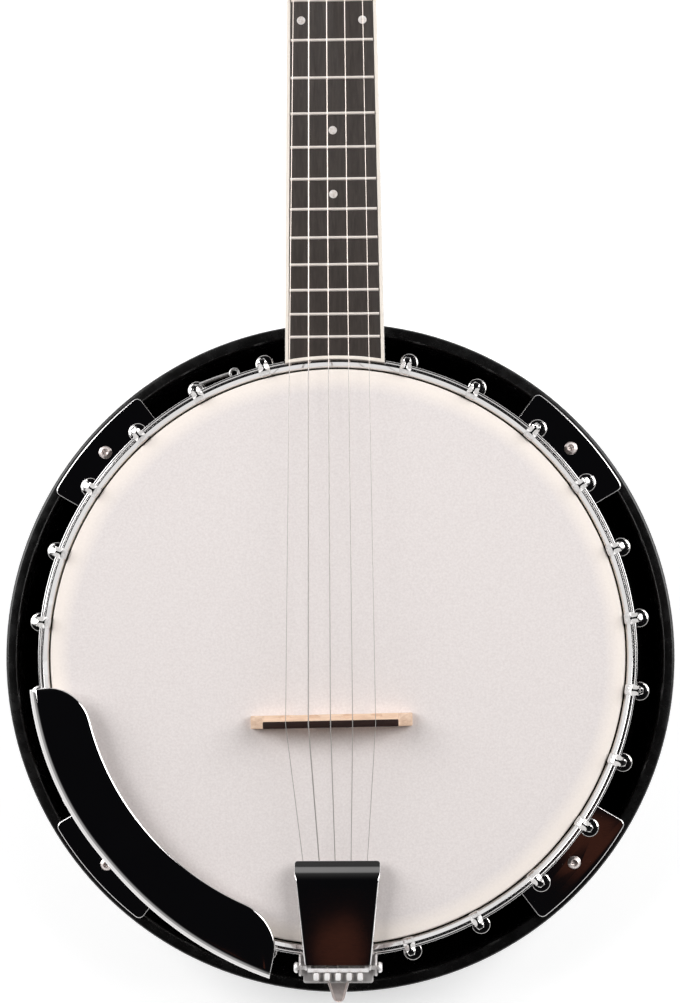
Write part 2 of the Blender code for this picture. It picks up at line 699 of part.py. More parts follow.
def make_plates():
    outer = PLATE_RADIUS
    inner = RIM_RADIUS + 2 * FIT
    hooks = [HOOK_STEP / 2, -HOOK_STEP / 2]
    turn = math.degrees(PLATE_CORNER / outer)
    round_off = PLATE_CORNER * (1 - math.sqrt(0.5))
    round_turn = math.degrees(round_off / outer)
    half = PLATE_HALF_SPAN
    arc_angles = [(half - turn) * (1 - i / 2) for i in range(5)]
    outline = [pot(outer - PLATE_CORNER, half), pot(outer - round_off, half - round_turn)]
    outline += [pot(outer, a) for a in arc_angles]
    outline += [pot(outer - round_off, round_turn - half), pot(outer - PLATE_CORNER, -half)]
    outline += [pot(inner, half * (i / 2 - 1)) for i in range(5)]
    holes = [circle(pot(HOOK_AT, a)[:2], HOOK_HOLE_RADIUS, 6) for a in hooks]
    holes += [circle((0, RESONATOR_SCREW_AT), RESONATOR_SCREW_RADIUS + 2 * FIT)]
    plate = slab([[tuple(p[:2]) for p in outline]] + holes, PLATE_BOTTOM, PLATE_TOP)

    head = RESONATOR_SCREW_HEAD_RADIUS
    seat = PLATE_TOP + FIT
    screw_end = RESONATOR_HEIGHT - LUG_HEIGHT + 0.002
    screw_profile = [
        (0, seat + RESONATOR_SCREW_HEAD),
        (head * 0.6, seat + RESONATOR_SCREW_HEAD * 0.85),
        (head, seat + RESONATOR_SCREW_HEAD * 0.35),
        (head, seat),
        (RESONATOR_SCREW_RADIUS, seat),
        (RESONATOR_SCREW_RADIUS, screw_end),
        (0, screw_end),
    ]
    lug_outer = math.sqrt((RESONATOR_INNER - FIT) ** 2 - (LUG_WIDTH / 2) ** 2) - FIT
    lug_outline = [
        (LUG_WIDTH / 2, lug_outer - LUG_DEPTH),
        (LUG_WIDTH / 2, lug_outer),
        (-LUG_WIDTH / 2, lug_outer),
        (-LUG_WIDTH / 2, lug_outer - LUG_DEPTH),
    ]
    lug = slab(
        [lug_outline, circle((0, RESONATOR_SCREW_AT), RESONATOR_SCREW_RADIUS + 2 * FIT)],
        RESONATOR_HEIGHT - LUG_HEIGHT,
        RESONATOR_HEIGHT,
    )
    for number, angle in enumerate(PLATE_ANGLES, 1):
        turn = (0, 0, -math.radians(angle))
        add(f"flange_plate_{number}", plate.copy(), CHROME, rotation=turn)
        add(f"resonator_lug_{number}", lug.copy(), STEEL, rotation=turn)
        at = pot(RESONATOR_SCREW_AT, angle)
        turned(f"resonator_screw_{number}", screw_profile, CHROME, 8, False, location=at, rotation=turn)


# Coordinator rod along the pot, with the nuts that bear on the rim and the end that enters the heel
def make_coordinator_rod():
    inner_face = math.sqrt(RIM_INNER**2 - ROD_NUT_RADIUS**2) - FIT
    nut_end = inner_face - ROD_NUT_LENGTH
    heel_end = RIM_RADIUS + ROD_IN_HEEL
    tail_end = RIM_RADIUS + 0.0095
    profile = [
        (0, heel_end),
        (ROD_END_RADIUS, heel_end),
        (ROD_END_RADIUS, nut_end + 0.001),
        (ROD_RADIUS, nut_end + 0.001),
        (ROD_RADIUS, -nut_end - 0.001),
        (ROD_END_RADIUS, -nut_end - 0.001),
        (ROD_END_RADIUS, -tail_end),
        (0, -tail_end),
    ]
    along = (-math.pi / 2, 0, 0)
    bar = turned("coordinator_rod", profile, STEEL, 8, False, location=(0, 0, ROD_HEIGHT), rotation=along)
    for side in (-1, 1):
        low, high = sorted((side * nut_end, side * inner_face))
        join(bar, rod(ROD_NUT_RADIUS, low, high, 6, (0, ROD_HEIGHT), "Y"))


def section(along, depth, left, right, arc_steps=8):
    """A cross-section of the neck: flat under the fretboard, short straight sides and a round back."""
    middle, half = (right - left) / 2, (right + left) / 2
    side = BOARD_BOTTOM - NECK_SIDE
    turns = [math.pi * i / arc_steps for i in range(arc_steps + 1)]
    back = [(middle + half * math.cos(a), side - (depth - NECK_SIDE) * math.sin(a)) for a in turns]
    points = [(right, BOARD_BOTTOM), *back, (-left, BOARD_BOTTOM)]
    return [Vector((x, -along, z)) for x, z in points]


def neck_depth(along):
    part = along / BOARD_LENGTH
    depth = NECK_DEPTH_AT_NUT + (NECK_DEPTH_AT_HEEL - NECK_DEPTH_AT_NUT) * part
    from_pot = max(0.0, 1 - (NUT_Y - along * math.cos(NECK_TILT) - RIM_RADIUS) / HEEL_LENGTH)
    return depth + HEEL_DROP * min(1.0, from_pot) ** HEEL_CURVE


# Neck: a loft of sections, cut to the pot's outline, with the headstock's slab joined on
def make_neck():
    pot_end = (NUT_Y - RIM_RADIUS) / math.cos(NECK_TILT) + 0.006
    heel_start = pot_end - 0.006 - HEEL_LENGTH
    heel_steps = 7
    stations = [heel_start + HEEL_LENGTH * i / heel_steps for i in range(heel_steps + 1)] + [pot_end]
    shaft_steps = 4
    shaft_start = SHOULDER_TOP + SHOULDER_LENGTH
    shaft = heel_start - shaft_start
    stations += [shaft_start + shaft * i / shaft_steps for i in range(1, shaft_steps)]
    stations = sorted(stations + SHOULDER + [0.08, 0.0])
    rings = [section(a, neck_depth(a), left_edge(a), right_edge(a)) for a in stations]
    tail = NUT_LENGTH + 0.009
    tail_depth = -WOOD_BACK + HEADSTOCK_STEP + BOARD_BOTTOM + math.sin(-HEADSTOCK_TILT) * tail
    rings.insert(0, section(-tail, tail_depth, LEFT_AT_NUT, RIGHT_AT_NUT))

    bm = bmesh.new()
    loops = [[bm.verts.new(point) for point in ring] for ring in rings]
    for near, far in zip(loops, loops[1:]):
        for i in range(len(near)):
            j = (i + 1) % len(near)
            bm.faces.new((near[i], near[j], far[j], far[i]))
    bm.faces.new(loops[0])
    bm.faces.new(loops[-1])
    neck = add("neck", mesh_from(bm), BLACK_LACQUER, neck_frame)
    join(neck, headstock_slab(WOOD_BACK, WOOD_TOP), frame=headstock_frame)

    pot_cut = [
        (0, HOOP_TOP + 0.03),
        (HOOP_RADIUS + 2 * FIT, HOOP_TOP + 0.03),
        (HOOP_RADIUS + 2 * FIT, FLESH_BOTTOM - 2 * FIT),
        (RIM_RADIUS + 2 * FIT, FLESH_BOTTOM - 2 * FIT),
        (RIM_RADIUS + 2 * FIT, -0.01),
        (0, -0.01),
    ]
    seat = block((-0.02, -0.001, BOARD_BOTTOM), (0.02, NUT_LENGTH + FIT, 0.01))
    cut(neck, seat, frame=neck_frame)
    boolean(neck, turned("pot_cut", pot_cut, closed=False, rotation=POT_TURN), "DIFFERENCE")
    hole = ROD_END_RADIUS + 2 * FIT
    cut(neck, rod(hole, RIM_RADIUS - 0.005, RIM_RADIUS + ROD_IN_HEEL + 0.001, 8, (0, ROD_HEIGHT), "Y"))
    width = TRUSS_ROD_RADIUS + 2 * FIT
    channel = block(
        (-width, -TRUSS_ROD_END - 0.001, BOARD_BOTTOM - TRUSS_CHANNEL_DEPTH),
        (width, NUT_LENGTH + TRUSS_POCKET_LENGTH, 0.01),
    )
    cut(neck, channel, frame=neck_frame)
    bushing = TUNER_BUSHING_RADIUS + 2 * FIT
    holes = [rod(bushing, WOOD_BACK - 0.01, 0.01, 10, at) for at in tuner_places()]
    cut(neck, together(holes), frame=headstock_frame)
    shank_end = FIFTH_PEG_SHANK + FIT - left_edge(FIFTH_PEG_AT)
    shank_at = (-FIFTH_PEG_AT, -FIFTH_PEG_DEPTH)
    shank = rod(FIFTH_PEG_SHANK_RADIUS + 1.5 * FIT, -0.03, shank_end, 10, shank_at, "X")
    cut(neck, shank, frame=neck_frame)


def headstock_outline(start):
    """Right half from the nut to the crest, as half-widths and distances from the nut."""
    half, length = HEADSTOCK_HALF_WIDTH, HEADSTOCK_LENGTH
    right = [
        (RIGHT_AT_NUT, start),
        (RIGHT_AT_NUT * 1.05, length * 0.05),
        (half * 0.594, length * 0.119),
        (half * 0.829, length * 0.2),
        (half * 0.906, length * 0.3125),
        (half * 0.9116, length * 0.5),
        (half * 0.967, length * 0.69),
        (half, length * 0.80),
        (half * 0.9116, length * 0.89),
        (half * 0.6215, length * 0.935),
        (half * 0.276, length * 0.985),
        (0, length),
    ]
    return right + [(-x, y) for x, y in reversed(right[:-1])]


def headstock_slab(low, high, holes=(), start=0.0):
    return slab([headstock_outline(start), *holes], low, high)


def tuner_places():
    """Where the posts stand on the headstock: fourth, third, second and first string."""
    lower, upper = (TUNER_LOWER_X, HEADSTOCK_LENGTH * 0.275), (TUNER_UPPER_X, HEADSTOCK_LENGTH * 0.6125)
    return [(-lower[0], lower[1]), (-upper[0], upper[1]), upper, lower]


def make_overlay():
    width = TRUSS_ROD_RADIUS + 4 * FIT
    pocket = [(-width, 0.001), (width, 0.001), (width, TRUSS_POCKET_LENGTH), (-width, TRUSS_POCKET_LENGTH)]
    holes = [circle(at, TUNER_BUSHING_RADIUS + 2 * FIT, 10) for at in tuner_places()]
    overlay = headstock_slab(-OVERLAY_THICKNESS, 0, [pocket, *holes], FIT)
    add("headstock_overlay", overlay, BLACK_LACQUER, headstock_frame)

    length = TRUSS_COVER_LENGTH
    side = [(0.0050, 0.002), (0.0055, length * 0.35), (0.0085, length * 0.55)]
    side += [(0.0090, length * 0.75), (0.0055, length * 0.93)]
    outline = side + [(0, length)] + [(-x, y) for x, y in reversed(side)]
    cover = slab([outline], FIT, FIT + TRUSS_COVER_THICKNESS)
    add("truss_rod_cover", cover, BLACK_LACQUER, headstock_frame)


def make_fretboard():
    inside = board_path(BINDING_WIDTH + 1.5 * FIT)
    inside[0] = (inside[0][0], -FIT)
    inside[-1] = (inside[-1][0], -FIT)
    board = add("fretboard", slab([inside], -FRETBOARD_THICKNESS, 0), FRETBOARD_WOOD, neck_frame)
    half, top = FRET_WIDTH / 2, FRET_CROWN
    frets = []
    for along in FRETS[1:]:
        left = -left_edge(along) + BINDING_WIDTH + 2.5 * FIT
        right = right_edge(along) - BINDING_WIDTH - 2.5 * FIT
        crown = [(-half, -top), (half, -top), (0.6 * half, top), (-0.6 * half, top)]
        fret = side_slab(crown, right - left)
        fret.transform(Matrix.Translation(((left + right) / 2, -along, 0)))
        frets.append(fret)
    join(board, together(frets), frame=neck_frame)

    outside, inner = board_path(0), board_path(BINDING_WIDTH)
    ends = [(outside[0][0], -FIT), *outside[1:-1], (outside[-1][0], -FIT)]
    inner = [(inner[0][0], -FIT), *inner[1:-1], (inner[-1][0], -FIT)]
    strip = slab([ends + inner[::-1]], -FRETBOARD_THICKNESS, 0)
    add("binding", strip, CREAM, neck_frame)


def make_nuts():
    low = BOARD_BOTTOM + FIT
    nut = block((-LEFT_AT_NUT, 0, low), (RIGHT_AT_NUT, NUT_LENGTH, NUT_RISE))
    piece = add("nut", nut, BONE, neck_frame)
    wide, floor = STRING_NOTCH_RADIUS, NUT_ACTION - STRING_NOTCH_RADIUS
    slots = [
        block((x - wide, -0.001, floor), (x + wide, NUT_LENGTH + 0.001, NUT_RISE + 0.001))
        for x in NUT_SPREAD
    ]
    cut(piece, together(slots), frame=neck_frame)
    pip = rod(FIFTH_NUT_RADIUS, FIT, FIFTH_NUT_RISE, 8, (FIFTH_STRING_X, -FIFTH_NUT_AT))
    pip_piece = add("fifth_string_nut", pip, BONE, neck_frame)
    reach = FIFTH_NUT_RADIUS + 0.001
    seat = (FIFTH_STRING_X, FIFTH_NUT_RISE)
    slot = rod(STRING_NOTCH_RADIUS, -FIFTH_NUT_AT - reach, -FIFTH_NUT_AT + reach, 6, seat, "Y")
    cut(pip_piece, slot, frame=neck_frame)


def make_truss_rod():
    depth = BOARD_BOTTOM - TRUSS_CHANNEL_DEPTH + TRUSS_ROD_RADIUS + FIT
    bar = rod(TRUSS_ROD_RADIUS, -TRUSS_ROD_END, NUT_LENGTH + TRUSS_POCKET_LENGTH - 0.004, 8, (0, depth), "Y")
    add("truss_rod", bar, STEEL, neck_frame)


def button_profile(reach, start, shaft_radius):
    """Profile of a tuning button on its shaft, from its crown down to the shaft's inner end."""
    radius, length = TUNER_BUTTON_RADIUS, TUNER_BUTTON_LENGTH
    return [
        (0, reach + length),
        (radius * 0.75, reach + length * 0.95),
        (radius, reach + length * 0.6),
        (radius * 0.8, reach + length * 0.2),
        (shaft_radius * 1.4, reach),
        (shaft_radius, reach),
        (shaft_radius, start),
        (0, start),
    ]


def knob(name, profile, shaft_end, frame, location, rotation):
    """A button turned about its shaft and flattened beyond the shaft's end."""
    made = turned(name, profile, sides=10, closed=False)
    graph = bpy.context.evaluated_depsgraph_get()
    mesh = bpy.data.meshes.new_from_object(made.evaluated_get(graph))
    bpy.data.objects.remove(made)
    for vertex in mesh.vertices:
        if vertex.co.z > shaft_end + 0.0001:
            vertex.co.y *= TUNER_BUTTON_FLATNESS
    add(name, mesh, PEARL, frame, location, rotation)


# Headstock tuners: the housing with its bushing, the post in it, and the button on the worm shaft
def make_tuners():
    post_bottom = WOOD_BACK - FIT - TUNER_HOUSING_HEIGHT + 0.0035
    top = TUNER_POST_HEIGHT
    post = [
        (0, top),
        (TUNER_POST_RADIUS, top),
        (TUNER_POST_RADIUS, top - 0.003),
        (TUNER_POST_WAIST, top - 0.0045),
        (TUNER_POST_WAIST, top - 0.0075),
        (TUNER_POST_RADIUS, top - 0.009),
        (TUNER_POST_RADIUS, post_bottom),
        (0, post_bottom),
    ]
    housing_top = WOOD_BACK - FIT
    housing_bottom = housing_top - TUNER_HOUSING_HEIGHT
    half = TUNER_HOUSING_WIDTH / 2
    rear = TUNER_WORM_OFFSET + 0.0065
    front = rear - TUNER_HOUSING_LENGTH
    corner = 0.0025
    outline = [
        (half - corner, front),
        (half, front + corner),
        (half, rear - corner),
        (half - corner, rear),
        (corner - half, rear),
        (-half, rear - corner),
        (-half, front + corner),
        (corner - half, front),
    ]
    for string, (x, y) in zip((4, 3, 2, 1), tuner_places()):
        side = 1 if x > 0 else -1
        place = {"frame": headstock_frame, "location": (x, y, 0)}
        housing = add(f"tuner_{string}_housing", slab([outline], housing_bottom, housing_top), CHROME, **place)
        join(housing, rod(TUNER_BUSHING_RADIUS, housing_top - 0.001, FIT + 0.5 * TUNER_WASHER, 10), **place)
        join(housing, rod(TUNER_WASHER_RADIUS, FIT, FIT + TUNER_WASHER, 10), **place)
        cut(housing, rod(TUNER_POST_RADIUS + 2 * FIT, post_bottom - FIT, 0.01, 8), **place)
        worm = sorted((side * 0.0015, side * (half + 0.001)))
        worm_hole = rod(TUNER_SHAFT_RADIUS + 1.5 * FIT, *worm, 8, (TUNER_WORM_OFFSET, WORM_DEPTH), "X")
        cut(housing, worm_hole, **place)
        turned(f"tuner_{string}_post", post, CHROME, 8, False, **place)
        profile = button_profile(TUNER_SHAFT_REACH, 0.002, TUNER_SHAFT_RADIUS)
        shaft = (x, y + TUNER_WORM_OFFSET, WORM_DEPTH)
        turn = (0, side * math.pi / 2, 0)
        knob(f"tuner_{string}_button", profile, TUNER_SHAFT_REACH, headstock_frame, shaft, turn)


# Fifth peg: a case pressed into the neck's side, the post that turns on its spindle, and the button
def make_fifth_peg():
    place = {
        "frame": neck_frame,
        "location": (-left_edge(FIFTH_PEG_AT), -FIFTH_PEG_AT, -FIFTH_PEG_DEPTH),
        "rotation": (0, -math.pi / 2, 0),
    }
    flange, flange_top = 0.0004, 0.0016
    post_start = flange_top + FIT
    post_end = post_start + FIFTH_PEG_POST_LENGTH
    case_start = post_end + FIT
    case_end = case_start + FIFTH_PEG_CASE_LENGTH
    shaft_radius = 0.0018
    bore = case_end - 0.005
    case = [
        (0, bore),
        (shaft_radius + FIT, bore),
        (shaft_radius + FIT, case_end),
        (FIFTH_PEG_CASE_RADIUS, case_end),
        (FIFTH_PEG_CASE_RADIUS, case_start),
        (FIFTH_PEG_SPINDLE_RADIUS, case_start),
        (FIFTH_PEG_SPINDLE_RADIUS, flange_top),
        (FIFTH_PEG_FLANGE_RADIUS, flange_top),
        (FIFTH_PEG_FLANGE_RADIUS, flange),
        (FIFTH_PEG_SHANK_RADIUS, flange),
        (FIFTH_PEG_SHANK_RADIUS, -FIFTH_PEG_SHANK),
        (0, -FIFTH_PEG_SHANK),
    ]
    turned("fifth_peg_case", case, CHROME, 10, False, **place)
    waist = (post_start + post_end) / 2
    inner = FIFTH_PEG_SPINDLE_RADIUS + FIT
    post = [
        (FIFTH_PEG_POST_RADIUS, post_end),
        (FIFTH_PEG_POST_WAIST, waist + 0.001),
        (FIFTH_PEG_POST_WAIST, waist - 0.001),
        (FIFTH_PEG_POST_RADIUS, post_start),
        (inner, post_start),
        (inner, post_end),
    ]
    turned("fifth_peg_post", post, CHROME, 10, True, **place)
    reach = case_end + 0.0015
    knob("fifth_peg_button", button_profile(reach, bore + FIT, shaft_radius), reach, **place)


# Bridge: three feet, two arches and a dark cap that the strings cross
def make_bridge():
    foot_z = HEAD_TOP + FIT
    top_z = BRIDGE_TOP - BRIDGE_CAP_HEIGHT - FIT
    foot, cap = BRIDGE_FOOT_SPAN / 2, BRIDGE_TOP_SPAN / 2
    arch = BRIDGE_ARCH_WIDTH / 2
    spring = foot_z + BRIDGE_ARCH_HEIGHT - arch
    outline = [(-foot, foot_z)]
    for centre in (-BRIDGE_ARCH_SPACING / 2, BRIDGE_ARCH_SPACING / 2):
        outline += [(centre - arch, foot_z)]
        outline += arc((centre, spring), arch, 180, 0, 6)
        outline += [(centre + arch, foot_z)]
    shoulder = foot_z + BRIDGE_FOOT_HEIGHT
    outline += [(foot, foot_z), (foot, shoulder), (cap, shoulder + 0.003), (cap, top_z)]
    outline += [(-cap, top_z), (-cap, shoulder + 0.003), (-foot, shoulder)]
    body = front_slab(outline, 0, BRIDGE_FOOT_DEPTH)
    slope = (BRIDGE_FOOT_DEPTH - BRIDGE_TOP_DEPTH) / (top_z - foot_z)
    for vertex in body.vertices:
        if vertex.co.y > BRIDGE_FOOT_DEPTH / 2:
            vertex.co.y -= slope * (vertex.co.z - foot_z)
    back = BRIDGE_Y - BRIDGE_TOP_DEPTH / 2
    add("bridge_body", body, MAPLE, location=(BRIDGE_CENTRE, back, 0))

    low = BRIDGE_TOP - BRIDGE_CAP_HEIGHT
    strip = block(
        (BRIDGE_CENTRE - cap, back, low),
        (BRIDGE_CENTRE + cap, back + BRIDGE_TOP_DEPTH, BRIDGE_TOP),
    )
    piece = add("bridge_cap", strip, CAP_WOOD)
    ends = BRIDGE_Y - 0.01, BRIDGE_Y + 0.01
    notches = [rod(STRING_NOTCH_RADIUS, *ends, 6, (x, BRIDGE_TOP), "Y") for x in BRIDGE_SPREAD]
    cut(piece, together(notches))


# Tailpiece: base with prongs, ears, tongue and hanger; hinged cover; two pivot screws; hanger nut
def make_tailpiece():
    low = TAILPIECE_BASE_BOTTOM
    high = low + TAILPIECE_BASE_THICKNESS
    half = TAILPIECE_BASE_WIDTH / 2
    front = TAILPIECE_FRONT_Y - 0.0035
    ear_in, ear_out = TAILPIECE_EAR_INSIDE, TAILPIECE_EAR_INSIDE + TAILPIECE_EAR_WIDTH
    ear_front = TAILPIECE_PIVOT_Y + TAILPIECE_EAR_LENGTH * 0.6
    ear_rear = ear_front - TAILPIECE_EAR_LENGTH
    tongue = TAILPIECE_TONGUE_WIDTH / 2
    rear = TAILPIECE_BASE_REAR_Y
    right = [(half, front), (half, rear + 0.0015), (half - 0.0015, rear), (tongue + 0.001, rear - 0.0004)]
    right += [(tongue, rear - 0.0014), (tongue * 0.72, TAILPIECE_TONGUE_END_Y + 0.003)]
    tip = arc((0, TAILPIECE_TONGUE_END_Y + 0.003), tongue * 0.6, -30, -150, 4)
    outline = right + tip + [(-x, y) for x, y in reversed(right)]
    base = add("tailpiece_base", slab([outline], low, high), CHROME)
    ear_top = TAILPIECE_PIVOT_HEIGHT + 0.0025
    for side in (-1, 1):
        ear = [(half - 0.0008, low + 0.0003), (ear_out, low + 0.0003), (ear_out, ear_top)]
        ear += [(ear_in, ear_top), (ear_in, high - 0.0003), (half - 0.0008, high - 0.0003)]
        join(base, front_slab([(side * x, z) for x, z in ear], ear_rear, ear_front))
    prongs = []
    for x in prong_places():
        prong = block(
            (x - PRONG_WIDTH / 2, PRONG_Y - PRONG_LENGTH / 2, high - 0.0006),
            (x + PRONG_WIDTH / 2, PRONG_Y + PRONG_LENGTH / 2, high + PRONG_HEIGHT),
        )
        prongs.append(prong)
    join(base, together(prongs))
    upper = -HOOP_RADIUS - 0.0025
    lower = -RIM_RADIUS - 2 * FIT
    thick = HANGER_THICKNESS
    bend_top, bend_bottom = FLESH_BOTTOM - 0.002, FLESH_BOTTOM - 0.012
    strap = [
        (upper, low + 0.0008),
        (upper, bend_top),
        (lower, bend_bottom),
        (lower, ROD_HEIGHT - 0.008),
        (lower - thick, ROD_HEIGHT - 0.008),
        (lower - thick, bend_bottom + thick * 0.4),
        (upper - thick, bend_top + thick * 0.4),
        (upper - thick, low + 0.0008),
    ]
    join(base, side_slab(strap, HANGER_WIDTH))
    hole = rod(ROD_END_RADIUS + 2 * FIT, -RIM_RADIUS - 0.02, -RIM_RADIUS + 0.01, 8, (0, ROD_HEIGHT), "Y")
    cut(base, hole)
    pivot = (TAILPIECE_PIVOT_Y, TAILPIECE_PIVOT_HEIGHT)
    cut(base, rod(PIVOT_SCREW_RADIUS + 1.5 * FIT, -0.03, 0.03, 8, pivot, "X"))

    nut_start = lower - thick - FIT
    nut = rod(ROD_NUT_RADIUS * 0.75, nut_start - 0.0045, nut_start, 6, (0, ROD_HEIGHT), "Y")
    nut_piece = add("tailpiece_nut", nut, CHROME)
    cut(nut_piece, rod(ROD_END_RADIUS + 2 * FIT, nut_start - 0.01, nut_start + 0.01, 8, (0, ROD_HEIGHT), "Y"))

    make_tailpiece_cover()
    for number, side in ((1, -1), (2, 1)):
        seat = ear_out + FIT
        profile = [
            (0, seat + PIVOT_SCREW_HEAD),
            (PIVOT_SCREW_HEAD_RADIUS * 0.7, seat + PIVOT_SCREW_HEAD),
            (PIVOT_SCREW_HEAD_RADIUS, seat + PIVOT_SCREW_HEAD * 0.5),
            (PIVOT_SCREW_HEAD_RADIUS, seat),
            (PIVOT_SCREW_RADIUS, seat),
            (PIVOT_SCREW_RADIUS, TAILPIECE_COVER_REAR - 0.003),
            (0, TAILPIECE_COVER_REAR - 0.003),
        ]
        turn = (0, side * math.pi / 2, 0)
        turned(f"tailpiece_screw_{number}", profile, CHROME, 8, False, location=(0, *pivot), rotation=turn)


def prong_places():
    return [PRONG_SPACING * i for i in (-2, -1, 0, 1, 2)]


def make_tailpiece_cover():
    """The cover in its pivot's frame: a tray with side walls and a rolled front lip."""
    wall = TAILPIECE_COVER_WALL
    top = TAILPIECE_COVER_TOP - TAILPIECE_PIVOT_HEIGHT
    front = TAILPIECE_FRONT_Y - TAILPIECE_PIVOT_Y - TAILPIECE_LIP_RADIUS
    wide, narrow = TAILPIECE_COVER_FRONT, TAILPIECE_COVER_REAR
    rear = -0.001
    plate = slab([[(narrow, rear), (wide, front), (-wide, front), (-narrow, rear)]], top - wall, top)
    pivot = {"location": (0, TAILPIECE_PIVOT_Y, TAILPIECE_PIVOT_HEIGHT)}
    cover = add("tailpiece_cover", plate, CHROME, **pivot)
    under = top - 0.0004
    skirt = [(-0.001, under), (-0.0020, 0.0004), (-0.0012, -0.0017), (0.0012, -0.0017)]
    skirt += [(front, -0.0002), (front, under)]
    lean = math.atan((wide - narrow) / (front - rear))
    for side in (-1, 1):
        place = {
            "location": (side * (narrow - wall / 2), TAILPIECE_PIVOT_Y, TAILPIECE_PIVOT_HEIGHT),
            "rotation": (0, 0, -side * lean),
        }
        join(cover, side_slab(skirt, wall), **place)
    lip_z = -0.0002 + TAILPIECE_LIP_RADIUS
    join(cover, rod(TAILPIECE_LIP_RADIUS, -wide, wide, 10, (front, lip_z), "X"), **pivot)
    cut(cover, rod(PIVOT_SCREW_RADIUS + 1.5 * FIT, -0.03, 0.03, 8, (0, 0), "X"), **pivot)


# Armrest: a bent plate over the hoop, two brackets, and the clamps that grip the hooks
def armrest_edges(angle):
    flare = max(0.0, (ARMREST_FLARE_FROM - angle) / (ARMREST_FLARE_FROM - ARMREST_START))
    outer = ARMREST_OUTER + ARMREST_FLARE * flare**1.5
    inner = ARMREST_INNER + ARMREST_INNER_DRIFT * ((ARMREST_END - angle) / (ARMREST_END - ARMREST_START)) ** 2
    from_end = math.radians(min(angle - ARMREST_START, ARMREST_END - angle)) * ARMREST_INNER
    if from_end < ARMREST_CORNER:
        inner += ARMREST_CORNER - math.sqrt(ARMREST_CORNER**2 - (ARMREST_CORNER - from_end) ** 2)
    return inner, outer


def armrest_z(part):
    """Height of the plate's top across its width, from its inner edge to its lip."""
    lip = max(0.0, (part - 0.8) / 0.2)
    return ARMREST_HEIGHT - 0.0012 * (1 - part) ** 2 - ARMREST_LIP_DROP * lip**1.6


def make_armrest():
    corner_turn = math.degrees(ARMREST_CORNER / ARMREST_INNER)
    corner = [corner_turn * part for part in (0, 0.06, 0.25, 0.6, 1)]
    middle_steps = 10
    start, end = ARMREST_START + corner_turn, ARMREST_END - corner_turn
    angles = [ARMREST_START + c for c in corner[:-1]]
    angles += [start + (end - start) * i / middle_steps for i in range(middle_steps + 1)]
    angles += [ARMREST_END - c for c in reversed(corner[:-1])]
    across = [0, 0.45, 0.84, 1]
    bm = bmesh.new()
    rows = []
    for angle in angles:
        inner, outer = armrest_edges(angle)
        rows.append([bm.verts.new(pot(inner + (outer - inner) * p, angle, armrest_z(p))) for p in across])
    for near, far in zip(rows, rows[1:]):
        for i in range(len(across) - 1):
            bm.faces.new((near[i], far[i], far[i + 1], near[i + 1]))
    bmesh.ops.recalc_face_normals(bm, faces=bm.faces)
    mesh = bpy.data.meshes.new("armrest")
    bm.to_mesh(mesh)
    upwards = mesh.polygons[len(mesh.polygons) // 2].normal.z > 0
    if not upwards:
        mesh.flip_normals()
    bm.free()
    plate = add("armrest_plate", mesh, CHROME)
    shell = plate.modifiers.new("sheet", "SOLIDIFY")
    shell.thickness = ARMREST_THICKNESS
    shell.offset = -1

    bar_in = HOOK_AT + HOOK_SHAFT_RADIUS + FIT
    bar_out = bar_in + ARMREST_BAR_THICKNESS
    low, high = ARMREST_BAR_BOTTOM, ARMREST_BAR_BOTTOM + ARMREST_BAR_HEIGHT
    half_span = HOOK_STEP / 2 + 1.3
    strap_top = ARMREST_STRAP_TOP
    thick = ARMREST_STRAP_THICKNESS
    pad_in, pad_out = ARMREST_PAD_AT - ARMREST_PAD_LENGTH / 2, ARMREST_PAD_AT + ARMREST_PAD_LENGTH / 2
    middle = (low + high) / 2
    jaw_out = HOOK_AT - HOOK_SHAFT_RADIUS - FIT
    for number, angle in enumerate(ARMREST_BRACKET_ANGLES, 1):
        place = {"rotation": (0, 0, -math.radians(angle))}
        inner, outer = armrest_edges(angle)
        pad_top = armrest_z((pad_in - inner) / (outer - inner)) - ARMREST_THICKNESS - 1.5 * FIT
        strap = [
            (bar_in + 0.0002, low),
            (bar_in + 0.0002 + thick, low),
            (bar_in + 0.0002 + thick, strap_top),
            (pad_out, strap_top),
            (pad_out, pad_top),
            (pad_in, pad_top),
            (pad_in, strap_top - thick),
            (bar_in + 0.0002, strap_top - thick),
        ]
        bar = slab([sector(bar_in, bar_out, -half_span, half_span, 4)], low, high)
        bracket = add(f"armrest_bracket_{number}", bar, CHROME, **place)
        join(bracket, side_slab(strap, ARMREST_STRAP_WIDTH), **place)
        hole = rod(CLAMP_SCREW_RADIUS + 1.5 * FIT, bar_in - 0.01, bar_out + 0.01, 8, (0, middle), "Y")
        cut(bracket, hole, **place)
        jaw = slab([sector(jaw_out - 0.002, jaw_out, -half_span, half_span, 4)], low, high)
        clamp = add(f"armrest_clamp_{number}", jaw, CHROME, **place)
        head = bar_out + 2 * FIT
        join(clamp, rod(CLAMP_SCREW_RADIUS, jaw_out - 0.001, head + 0.001, 8, (0, middle), "Y"), **place)
        join(clamp, rod(0.0036, head, head + 0.0026, 6, (0, middle), "Y"), **place)


